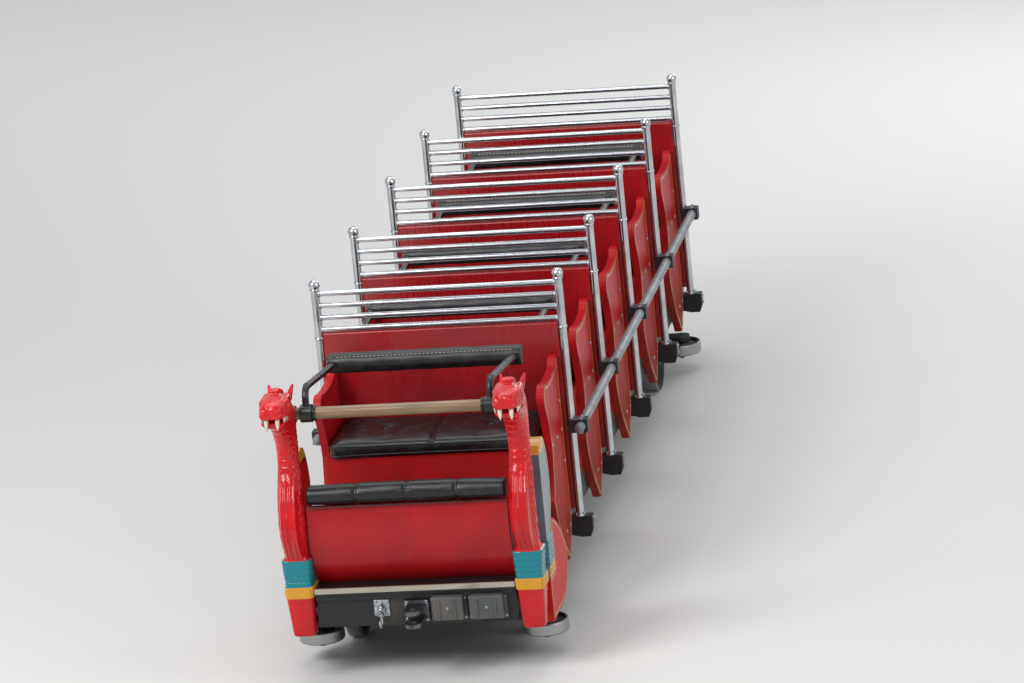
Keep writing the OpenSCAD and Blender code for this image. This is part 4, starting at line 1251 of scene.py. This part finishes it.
def figurehead_teeth():
    """Two long fangs, and behind each a row of seven small teeth above and six below."""
    fang = [(21, -149, 902), (21.4, -152.5, 886), (21.5, -154, 870), (21, -153.5, 855)]
    upper_teeth, lower_teeth, pitch = 7, 6, 10.5
    teeth = []
    for sign in (1, -1):
        teeth.append(horn([(sign * x, y, z) for x, y, z in fang], [9.4, 8.2, 5.6, 1.2], 12, "fang"))
        for k in range(upper_teeth):
            y = -136 + pitch * k
            x = sign * (43 + 0.6 * k)
            upper = [(x, y, 905), (x, y, 897), (x * 0.99, y - 1, 888.5)]
            teeth.append(horn(upper, [4.4, 3.6, 0.6], 8, "upper tooth"))
            if k < lower_teeth:
                lower = [(x * 0.96, y + 6, 882), (x * 0.97, y + 6, 888), (x * 0.98, y + 5.5, 894)]
                teeth.append(horn(lower, [3.8, 3.0, 0.5], 8, "lower tooth"))
    return joined(teeth, "figurehead_teeth")


class COASTER_OT_figureheads(bpy.types.Operator):
    """Carves the two painted figureheads over their construction solids, with eyes and teeth"""

    bl_idname = "coaster.figureheads"
    bl_label = "Figureheads"

    def execute(self, context):
        grain = context.scene.coaster_sizes.carving_grain
        block = to_mesh(merged_copy("figurehead_right"), "figurehead")
        right = remeshed(block, "figurehead_right_carving", grain)
        carve_figurehead(right)
        # the carving stays inside the block that it is cut from
        put_points(right, np.clip(points_of(right), low("figurehead_right"), high("figurehead_right")))
        left = mirrored_mesh(right, "figurehead_left_carving")
        for mesh, cad_name in ((right, "figurehead_right"), (left, "figurehead_left")):
            obj = new_piece(f"{cad_name}_carving", mesh, "carved_red", CAR)
            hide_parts(cad_name)
        for mesh, finish in ((figurehead_eyes(), "eye"), (figurehead_teeth(), "tooth")):
            left = mirrored_mesh(mesh, mesh.name + "_left")
            new_piece(mesh.name + "_right", mesh, finish, CAR)
            new_piece(mesh.name + "_left", left, finish, CAR)
        return {"FINISHED"}


# Benches, fastenings and fittings
class COASTER_OT_bench_boxes(bpy.types.Operator):
    """Side boards that close the hollow under each seat, and a kick strip along the riser"""

    bl_idname = "coaster.bench_boxes"
    bl_label = "Bench boxes"

    def execute(self, context):
        inner = RAIL_FACE - 0.2 * MM
        seat_under = low("seat_cushions").z - BOARD - 0.6 * MM
        riser_back, side_board = 30 * MM, 18 * MM      # riser behind the cushion's front; board thickness
        strip, strip_head, strip_end = 5 * MM, DECK_TOP + 46 * MM, inner - 3 * MM
        boards, strips, screws = [], [], []
        for i in ROWS:
            riser = POST_Y[i] + CUSHION_FRONT + riser_back
            for sign in (1, -1):
                x0, x1 = sorted((sign * (inner - side_board), sign * inner))
                lo, hi = (x0, riser + BOARD, DECK_TOP), (x1, POST_Y[i] - 12 * MM, seat_under)
                boards.append(box_mesh(lo, hi, "board", 1.5))
            lo, hi = (-strip_end, riser - strip, DECK_TOP + 0.4 * MM), (strip_end, riser, strip_head)
            strips.append(box_mesh(lo, hi, "strip", 1.8))
            screws += [((x, mm(riser) - 5, mm(DECK_TOP) + 24), FRONT) for x in range(-390, 391, 130)]
        new_piece("bench_side_boards", joined(boards, "boards"), "back_red", CAR)
        new_piece("riser_kick_strips", joined(strips, "strips"), "kick_strip", CAR)
        grown_piece("kick_strip_screws", screws, dome_tree, "zinc_dull", CAR, "rail_grey", True,
                    **dome(4, 0.4))
        return {"FINISHED"}


class COASTER_OT_fastenings(bpy.types.Operator):
    """Bolts, screws and nuts of the frame, the clamps, the benches, the deck and the wheels"""

    bl_idname = "coaster.fastenings"
    bl_label = "Fastenings"

    def execute(self, context):
        s = context.scene.coaster_sizes
        posts = [mm(POST_Y[i]) for i in ROWS]
        steel_top = mm(STEEL_TOP)
        axles = ("wheelset_front", "wheelset_rear")

        # weathered hexagon bolts through the outer rails, two by two between the bench ends
        out_x = mm(RAIL_FACE)
        rails = [((out_x, y + along, steel_top - drop), RIGHT)
                 for y in posts[:-1] for along in (62, 232, 402) for drop in (20, 50)]
        rails += [((out_x, posts[-1] + along, steel_top - 35), RIGHT) for along in (60, 110)]
        grown_piece("outer_rail_bolts", both_sides(rails), bolt_tree, "zinc_dull", CAR, "underframe_black",
                    head_width=s.frame_bolt, head_height=0.41 * s.frame_bolt, washer=0.7 * s.frame_bolt)

        # four small bolts round each ladder foot, on its flange
        post_x, flange_top, bolt_circle = mm(POST_X), steel_top + 8, mm(FOOT_R) - 4.75
        feet = [((post_x + bolt_circle * math.cos(a), y + bolt_circle * math.sin(a), flange_top), UP)
                for y in posts for a in (0.6, -0.6, 2.2, -2.2)]
        grown_piece("ladder_foot_bolts", both_sides(feet), bolt_tree, "zinc", CAR, "bright_steel",
                    **hexagon(7, 4, 4.4))

        # screws that pinch the side rail in its clamps, from above and below
        rail_x = mm(high("side_rails").x - (high("side_rails").z - low("side_rails").z) / 2)
        faces = ((mm(high("rail_clamps").z), UP), (mm(low("rail_clamps").z), DOWN))
        clamps = [((rail_x, y + dy, z), facing) for y in posts for dy in (-14, 14) for z, facing in faces]
        grown_piece("clamp_screws", both_sides(clamps), bolt_tree, "zinc", CAR, "clamp_dark",
                    **hexagon(13, 7, 8.5))

        # domed coach bolts through the bench ends into rail, seat board and back
        end_x = mm(high("bench_1").x)
        seat = mm(low("seat_cushions").z - BOARD / 2)
        spread = ((-62, 300), (-150, 300), (-60, seat), (-170, seat), (-280, seat), (-52, 560), (-52, 800))
        ends = [((end_x, y + dy, z), RIGHT) for y in posts for dy, z in spread]
        grown_piece("bench_end_bolts", both_sides(ends), dome_tree, "zinc", CAR, "bench_red", True,
                    radius=s.coach_bolt, flatness=0.42, sides=16)

        # bright wearing plates on the ends of the bearer shoes, each with two bolts
        tip, thick = high("cross_bearers").x, 3.5
        plates = []
        for y in POST_Y.values():
            lo = (tip - 0.5 * MM, y - 20 * MM, STEEL_TOP - 54 * MM)
            plates.append(box_mesh(lo, (tip + thick * MM, y + 20 * MM, STEEL_TOP - 3 * MM), "plate", 1.2))
        plates = with_twin(joined(plates, "plates"), "plates")
        new_piece("shoe_plates", plates, "zinc_dull", CAR)
        heads = [((mm(tip) + thick, y, steel_top - drop), RIGHT) for y in posts for drop in (43, 13)]
        grown_piece("shoe_plate_bolts", both_sides(heads), bolt_tree, "zinc", CAR, "underframe_black",
                    **hexagon(12, 5, 8))

        # sunk screws of the deck planks over each bearer, two to a plank
        deck_x = mm(high("floor_deck").x) - 12
        across = [PLANK_MM * (k + 0.5) + dx for k in range(-4, 4) for dx in (-34, 34)]
        screws = [((x, y + 17, mm(DECK_TOP)), UP) for y in posts for x in across if abs(x) < deck_x]
        grown_piece("deck_screws", screws, dome_tree, "zinc_dull", CAR, "deck_plank", True,
                    **dome(4.6, 0.2))

        # four bolts up through the flanges of each axle box
        box_x, flange_z = AXLE_BOX_MM
        under = [((box_x + dx, mm(middle(name).y) + dy, flange_z), DOWN)
                 for name in axles for dx in (-16, 16) for dy in (-74, 74)]
        grown_piece("axle_box_bolts", both_sides(under), bolt_tree, "zinc_dull", CAR, "cast_box",
                    **hexagon(15, 8, 10))

        # four bolts in the plate of the clevis and of the drawbar
        z0 = mm(middle("drawbar_rear").z)
        coupled = ((39, mm(NOSE_Y) + 6, FRONT), (48, mm(low("drawbar_rear").y) + 16, REAR))
        plates = [((sx * x, y, z0 + dz), facing)
                  for x, y, facing in coupled for sx in (-1, 1) for dz in (-33, 33)]
        grown_piece("coupling_bolts", plates, bolt_tree, "zinc", CAR, "forged_steel", **hexagon(12, 6, 8))

        # six hub nuts turn with each wheel, on the inner face of its hub
        hub_face, nut_circle = WHEEL_X_MM - WHEEL_MM / 2 - 4, 38
        turns = [math.pi / 3 * k for k in range(6)]
        for name in axles:
            c = middle(name) / MM
            nuts = [((hub_face, c.y + nut_circle * math.cos(a), c.z + nut_circle * math.sin(a)), LEFT)
                    for a in turns]
            grown_piece(f"{name}_hub_nuts", both_sides(nuts), bolt_tree, "zinc_dull", name, "wheel_iron",
                        **hexagon(13, 7, 8))

        # nuts under the guide wheel pins
        wheels = [middle(f"guide_wheel_{k}") / MM for k in ("fl", "fr", "rl", "rr")]
        pins = [((c.x, c.y, mm(low("guide_brackets").z)), DOWN) for c in wheels]
        grown_piece("guide_pin_nuts", pins, bolt_tree, "zinc_dull", CAR, "underframe_black",
                    **hexagon(30, 14, 20))
        return {"FINISHED"}


class COASTER_OT_tube_fittings(bpy.types.Operator):
    """Weld beads, ball collars and stop collars on the ladders and pivot tubes"""

    bl_idname = "coaster.tube_fittings"
    bl_label = "Tube fittings"

    def execute(self, context):
        s = context.scene.coaster_sizes
        post_x = mm(POST_X)
        first_rung, rung_pitch, ball = 12, 48, 44
        rungs = [mm(high("seat_back_1").z) + first_rung + rung_pitch * k for k in range(4)]
        ball_foot = mm(high("ladder_1").z) - ball
        for i in ROWS:
            y = mm(POST_Y[i])
            welds = [((post_x - 17.5, y, z), RIGHT) for z in rungs]
            grown_piece(f"rung_welds_{i}", both_sides(welds), collar_tree, "bright_steel", CAR,
                        "bright_steel", True, radius=s.weld, width=5 * MM, soft_edge=1.6 * MM)
            caps = [((post_x, y, z), UP) for z in (ball_foot + 4, rungs[0] - 34)]
            grown_piece(f"post_collars_{i}", both_sides(caps), collar_tree, "bright_steel", CAR,
                        "bright_steel", True, **collar(19, 7, 1.6))
        # stop collars beside the lap bar sleeves: wide on the hand bar, narrow on the pivot tubes
        pivots = [LAP_PIVOT[f"lap_bar_{i}"] / MM for i in ROWS]
        stops = [((STOP_X_MM, p.y, p.z), RIGHT) for p in pivots]
        for radius, spots in ((29, stops[:1]), (20.5, stops[1:])):
            grown_piece(f"stop_collars_{int(radius)}", both_sides(spots), collar_tree, "lap_black", CAR,
                        "lap_black", True, **collar(radius, 11, 2))
        return {"FINISHED"}


# Stuffed vinyl
def stuffed(mesh, name, voxel_mm, crown):
    """Fills a closed shape as a vinyl case is filled: cloth under pressure, no point moved past crown."""
    pressure, last_step = 4.0, 20
    base = remeshed(mesh, name + "_base", voxel_mm * MM)
    start = points_of(base)
    obj = bpy.data.objects.new(name, base)
    bpy.context.collection.objects.link(obj)
    cloth = obj.modifiers.new("case", "CLOTH")
    c = cloth.settings
    c.quality, c.mass, c.air_damping = 6, 0.35, 2.0
    c.tension_stiffness = c.compression_stiffness = 18.0
    c.shear_stiffness, c.bending_stiffness = 8.0, 1.2
    c.use_pressure, c.uniform_pressure_force = True, pressure
    c.effector_weights.gravity = 0.0
    cloth.point_cache.frame_start, cloth.point_cache.frame_end = 1, last_step
    scene = bpy.context.scene
    for step in range(1, last_step + 1):
        scene.frame_set(step)
    settled = bpy.data.meshes.new_from_object(obj.evaluated_get(bpy.context.evaluated_depsgraph_get()))
    moved = points_of(settled)
    bpy.data.meshes.remove(settled)
    bpy.data.objects.remove(obj)
    scene.frame_set(1)
    shift = moved - start
    size = np.linalg.norm(shift, axis=1)
    shift *= (np.minimum(size, crown) / np.maximum(size, 1e-9))[:, None]
    put_points(base, start + shift)

    def add(obj):
        m = obj.modifiers.new("smooth skin", "SUBSURF")
        m.levels = m.render_levels = 1

    return evaluated(base, name, add)


def skin_path(mesh, guides, out_mm):
    """The guide points (in metres) moved to the nearest place on the skin, and out_mm proud of it."""
    tree = BVHTree.FromPolygons([v.co for v in mesh.vertices], [tuple(p.vertices) for p in mesh.polygons])
    found = []
    for g in guides:
        place, normal, _, _ = tree.find_nearest(Vector(g))
        found.append(place + normal * out_mm * MM)
    return found


def rounded_ring(x0, x1, y0, y1, z, corner, step):
    """Points in metres round a level rectangle with rounded corners."""
    pts = []
    left, right, near, far = x0 + corner, x1 - corner, y0 + corner, y1 - corner
    for cx, cy, a0 in ((right, far, 0), (left, far, 90), (left, near, 180), (right, near, 270)):
        turns = [math.radians(a0 + d) for d in range(0, 91, 15)]
        pts += [(cx + corner * math.cos(a), cy + corner * math.sin(a), z) for a in turns]
    return resampled(np.array(pts), step)


def stitches(name, path, pitch, finish="thread", radius_mm=0.8):
    """Stitches along points, at a pitch, all in metres."""
    pts = np.array([tuple(p) for p in path])
    along = np.concatenate([[0], np.cumsum(np.linalg.norm(np.diff(pts, axis=0), axis=1))])
    at = np.arange(pitch / 2, along[-1], pitch)
    on = np.stack([np.interp(at, along, pts[:, k]) for k in range(3)], 1)
    ahead = np.stack([np.interp(at + MM, along, pts[:, k]) for k in range(3)], 1) - on
    ahead /= np.maximum(np.linalg.norm(ahead, axis=1), 1e-9)[:, None]
    return grown_mesh(name, on, dome_tree, finish, [tuple(d) for d in ahead],
                      radius=radius_mm * MM, flatness=3.1, sides=6, rings=5)


class COASTER_OT_seat_cushions(bpy.types.Operator):
    """Black vinyl bench cushions with a centre seam, piped edges and stitching"""

    bl_idname = "coaster.seat_cushions"
    bl_label = "Seat cushions"

    def execute(self, context):
        s = context.scene.coaster_sizes
        half, bottom, top = high("seat_cushions").x, low("seat_cushions").z, high("seat_cushions").z
        front, back = POST_Y[1] + CUSHION_FRONT, POST_Y[1] - 13 * MM
        inset = 3 * MM
        case_lo = (-half + inset, front + inset, bottom)
        case_hi = (half - inset, back - inset, top - 7 * MM)
        case = box_mesh(case_lo, case_hi, "cushion", 16)
        skin = stuffed(case, "seat_cushion", voxel_mm=13.0, crown=s.cushion_crown)
        # the sewn seam between the two places, and the pull of a button in the middle of each
        seam_depth, seam_notch, button_pull = 9 * MM, 4 * MM, 10 * MM
        p, n = points_of(skin), normals_of(skin)
        level, forward = np.clip(n[:, 2], 0, 1), np.clip(-n[:, 1], 0, 1)
        p[:, 2] -= seam_depth * bump_at(p[:, 0] / MM, 17) * level
        p[:, 1] += seam_notch * bump_at(p[:, 0] / MM, 14) * forward
        buttons = [(half / 2 * sign, (front + back) / 2, top) for sign in (-1, 1)]
        for bx, by, _ in buttons:
            away = np.hypot(p[:, 0] - bx, p[:, 1] - by) / MM
            p[:, 2] -= button_pull * bump_at(away, 60) * level
        room_lo = (-half - 1.5 * MM, front - 4 * MM, bottom)
        room_hi = (half + 1.5 * MM, back, top + 4 * MM)
        put_points(skin, np.clip(p, room_lo, room_hi))
        trim = []
        for z in (top - 14 * MM, bottom + 10 * MM):
            ring = rounded_ring(-half, half, front, back, z, 22 * MM, 12 * MM)
            ring_lo = (-half + 1 * MM, front - 10 * MM, bottom + 4 * MM)
            ring_hi = (half - 1 * MM, back - 2.5 * MM, top + 10 * MM)
            path = np.clip(np.array([tuple(q) for q in skin_path(skin, ring, 1.0)]), ring_lo, ring_hi)
            trim.append(rod_along(path, s.piping, "welt"))
        trim.append(grown_mesh("buttons", skin_path(skin, buttons, 1.0), dome_tree, "black_vinyl",
                               [UP] * len(buttons), **dome(12, 0.45, 18)))
        trim = joined(trim, "trim")
        # a row of stitches on each side of the seam
        seam = skin_path(skin, [(0.0, back - (30 + 12 * t) * MM, top) for t in range(30)], 0.2)
        beside = (-5 * MM, 5 * MM)
        rows = [stitches("thread", [q + Vector((dx, 0, 0)) for q in seam], s.stitch) for dx in beside]
        thread = joined(rows, "thread")
        for i in ROWS:
            shift = (0, POST_Y[i] - POST_Y[1], 0)
            obj = new_piece(f"seat_cushion_{i}", moved_mesh(skin, shift, f"cushion_{i}"),
                            "black_vinyl", CAR)
            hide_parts("seat_cushions")
            for label, mesh, finish in (("piping", trim, "piping"), ("stitches", thread, "thread")):
                new_piece(f"seat_{label}_{i}", moved_mesh(mesh, shift, f"{label}_{i}"),
                          finish, CAR)
        return {"FINISHED"}


class COASTER_OT_dash_roll(bpy.types.Operator):
    """Black vinyl knee roll along the top of the dash, tacked down with domed nails"""

    bl_idname = "coaster.dash_roll"
    bl_label = "Dash roll"

    def execute(self, context):
        lo, hi, c = low("dash_pad"), high("dash_pad"), middle("dash_pad")
        # the case starts a little smaller than its solid, because it swells
        bm = merged_copy("dash_pad")
        for v in bm.verts:
            v.co = Vector(c[k] + (v.co[k] - c[k]) * share for k, share in enumerate((0.992, 0.93, 0.92)))
        crown = context.scene.coaster_sizes.roll_crown
        skin = stuffed(to_mesh(bm, "dash_roll"), "dash_roll", voxel_mm=8.0, crown=crown)
        # sewn bands that part the roll in four, with short gathers beside each
        seam_depth, gather_depth = 4.5, 1.1
        p, n = points_of(skin), normals_of(skin)
        gathers = 0.5 + 0.5 * np.cos(np.arctan2(p[:, 2] - c.z, p[:, 1] - c.y) * 14)
        for seam in (-0.192, 0.0, 0.192):
            away = (p[:, 0] - seam) / MM
            pull = seam_depth * bump_at(away, 12) + gather_depth * bump_at(away, 44) * gathers
            p -= n * (pull * MM)[:, None]
        room_lo, room_hi = np.array(lo) - (0, 2 * MM, 0), np.array(hi) + (0, 2 * MM, 2 * MM)
        put_points(skin, np.clip(p, room_lo, room_hi))
        obj = new_piece("dash_roll", skin, "black_vinyl", CAR)
        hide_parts("dash_pad")
        # a flat tacking strip in front and behind, and its nails
        strip, nail_pitch = 3.4, 26
        nails, strips = [], []
        for y, way in ((lo.y + 7 * MM, -1), (hi.y - 7 * MM, 1)):
            ends = (lo.x + 4 * MM, y - 5 * MM, lo.z), (hi.x - 4 * MM, y + 5 * MM, lo.z + strip * MM)
            strips.append(box_mesh(*ends, "strip", 1.2))
            leaning = (0, 0.5 * way, 1)
            nails += [((x, mm(y), mm(lo.z) + strip), leaning) for x in range(-364, 365, nail_pitch)]
        new_piece("dash_tacking_strips", joined(strips, "strips"), "piping", CAR)
        grown_piece("dash_roll_nails", nails, dome_tree, "piping", CAR, "black_vinyl", True, **dome(4, 0.6))
        return {"FINISHED"}


class COASTER_OT_lap_pads(bpy.types.Operator):
    """Black vinyl sleeves laced over the lap bars' foam"""

    bl_idname = "coaster.lap_pads"
    bl_label = "Lap pads"

    def execute(self, context):
        s = context.scene.coaster_sizes
        half, radius = high("lap_bar_1").x, PAD_R
        foam = rod_mesh(half - 2 * MM, radius - 1.5 * MM, "pad")
        skin = stuffed(foam, "lap_pad", voxel_mm=7.0, crown=s.pad_crown)
        # gathers at both ends, a few soft dents along the sleeve
        p = points_of(skin)
        r = np.hypot(p[:, 1], p[:, 2])
        turn = np.arctan2(p[:, 2], p[:, 1])
        gathers = 2.2 * bump_at((half - np.abs(p[:, 0])) / MM, 46) * (0.5 + 0.5 * np.cos(turn * 13))
        dents = 0.7 * np.sin(p[:, 0] * 37) * np.sin(turn * 2 + p[:, 0] * 9)
        want = radius + (2.4 - gathers + dents) * MM
        scale = np.where(r > 0.8 * radius, want / np.maximum(r, 1e-6), 1.0)
        p[:, 1] *= scale
        p[:, 2] *= scale
        cap = np.abs(p[:, 0]) > half - 1 * MM
        p[:, 0] = np.where(cap, np.sign(p[:, 0]) * (half + 1.6 * MM), p[:, 0])
        put_points(skin, p)
        # a sewn seam underneath, and lacing along the upper front, both guided by points 12 mm apart
        pitch = 0.012
        seam = skin_path(skin, [(-0.36 + pitch * k, 0.02, -0.04) for k in range(61)], 0.3)
        welt = rod_along(seam, 2.6 * MM, "seam", closed=False)
        thread = stitches("thread", [q + Vector((0, 5.5 * MM, 0)) for q in seam], s.stitch)
        laced = skin_path(skin, [(-0.342 + pitch * k, -0.03, 0.032) for k in range(58)], 0.4)
        lace = stitches("lace", laced, s.lace, "lacing", 1.8)
        sewn = (("seam", welt, "piping"), ("stitches", thread, "thread"), ("lacing", lace, "lacing"))
        for i in ROWS:
            body = f"lap_bar_{i}"
            rise = (30 if i == 1 else 16) * MM
            at = (0, POST_Y[i] - PAD_AHEAD, LAP_PIVOT[body].z + rise)
            obj = new_piece(f"lap_pad_{i}", moved_mesh(skin, at, f"lap_pad_{i}"),
                            "black_vinyl", body)
            for label, mesh, finish in sewn:
                new_piece(f"lap_pad_{label}_{i}", moved_mesh(mesh, at, f"lap_{label}_{i}"),
                          finish, body)
        return {"FINISHED"}


class COASTER_OT_front_castings(bpy.types.Operator):
    """Ribbed cover boxes and a safety hook on the front headstock"""

    bl_idname = "coaster.front_castings"
    bl_label = "Front castings"

    def execute(self, context):
        face = NOSE_Y + 20 * MM

        def block(x0, x1, out0, out1, z0, z1, name, corner_mm):
            """A box with rounded corners. x and z in mm, out in mm from the headstock's face."""
            lo, hi = (x0 * MM, face - out1 * MM, z0 * MM), (x1 * MM, face - out0 * MM, z1 * MM)
            return box_mesh(lo, hi, name, corner_mm)

        def spot(x, out, z):
            """Where a bolt's head sits, out in mm from the headstock's face."""
            return (x, mm(face) - out, z), FRONT

        # two ribbed boxes with a bolt in the middle and one near each corner of the flange
        boxes, bolts = [], []
        for x0, x1 in ((62, 182), (206, 336)):
            boxes.append(block(x0, x1, -1, 46, 234, 326, "cover", 7))
            boxes += [block(rib - 4, rib + 4, 40, 52, 244, 316, "rib", 2.5) for rib in (x0 + 30, x1 - 30)]
            boxes.append(block(x0 - 9, x1 + 9, -1, 8, 226, 320, "flange", 2.5))
            bolts.append(spot((x0 + x1) / 2, 46, 280))
            bolts += [spot(x, 8, z) for x in (x0 - 3.5, x1 + 3.5) for z in (236, 310)]
        new_piece("headstock_cover_boxes", joined(boxes, "covers"), "grey_casting", CAR)
        grown_piece("cover_box_bolts", bolts, bolt_tree, "zinc", CAR, "cast_box", **hexagon(9, 4.5, 6))

        # safety hook on an eye plate left of the clevis: half an eye, a ring in it, the hook in the ring.
        # Each path is of (x, out, z)
        x = -135
        eye = [(x, 6 + 20 * math.sin(a), 283 + 15 * math.cos(a)) for a in np.linspace(0, math.pi, 13)]
        turns = np.linspace(0, 2 * math.pi, 25)[:-1]
        ring = [(x + 13 * math.sin(a), 25 + 3 * math.cos(a), 268 + 15 * math.cos(a)) for a in turns]
        hook = [(x, 27, 262 - 4 * k) for k in range(6)]
        hook += [(x, 44 - 17 * math.cos(a), 238 - 19 * math.sin(a)) for a in np.linspace(0.2, 3.6, 15)]
        steel = [block(x - 30, x + 30, -1, 7, 250, 316, "plate", 2.5)]
        for path, thick, closed in ((eye, 5, False), (ring, 4, True), (hook, 5.5, False)):
            points = [(px * MM, face - out * MM, pz * MM) for px, out, pz in path]
            steel.append(rod_along(points, thick * MM, "rod", closed))
        new_piece("safety_hook", joined(steel, "hook"), "bright_forging", CAR)
        screws = [spot(x + dx, 7, z) for dx in (-20, 20) for z in (260, 306)]
        grown_piece("safety_hook_bolts", screws, bolt_tree, "zinc", CAR, "forged_steel", **hexagon(9, 4, 6))
        return {"FINISHED"}


# Panel, registration and the run
class COASTER_PT_panel(bpy.types.Panel):
    """Lists the pieces of the car in the order in which they are made, and what a user may change"""

    bl_idname = "COASTER_PT_panel"
    bl_label = "Coaster car"
    bl_space_type = "VIEW_3D"
    bl_region_type = "UI"
    bl_category = "Coaster Car"

    def draw(self, context):
        for operator in STEPS:
            self.layout.operator(operator.bl_idname)
        scene = context.scene
        for settings in (scene.coaster_colours, scene.coaster_sizes, scene.coaster_stage):
            box = self.layout.box()
            for key in type(settings).__annotations__:
                box.prop(settings, key)


STEPS = (COASTER_OT_stage, COASTER_OT_finishes, COASTER_OT_figureheads, COASTER_OT_painted_lines,
         COASTER_OT_nose_bands, COASTER_OT_bench_boxes, COASTER_OT_fastenings, COASTER_OT_tube_fittings,
         COASTER_OT_seat_cushions, COASTER_OT_dash_roll, COASTER_OT_lap_pads, COASTER_OT_front_castings)
CLASSES = (CarColours, CarSizes, CarStage, *STEPS, COASTER_PT_panel)


def register():
    for cls in CLASSES:
        bpy.utils.register_class(cls)
    bpy.types.Scene.coaster_colours = PointerProperty(type=CarColours)
    bpy.types.Scene.coaster_sizes = PointerProperty(type=CarSizes)
    bpy.types.Scene.coaster_stage = PointerProperty(type=CarStage)


def unregister():
    del bpy.types.Scene.coaster_stage
    del bpy.types.Scene.coaster_sizes
    del bpy.types.Scene.coaster_colours
    for cls in reversed(CLASSES):
        bpy.utils.unregister_class(cls)


def main():
    register()
    for operator in STEPS:
        family, name = operator.bl_idname.split(".")
        getattr(getattr(bpy.ops, family), name)()
    bpy.context.view_layer.update()


if __name__ == "__main__":
    main()
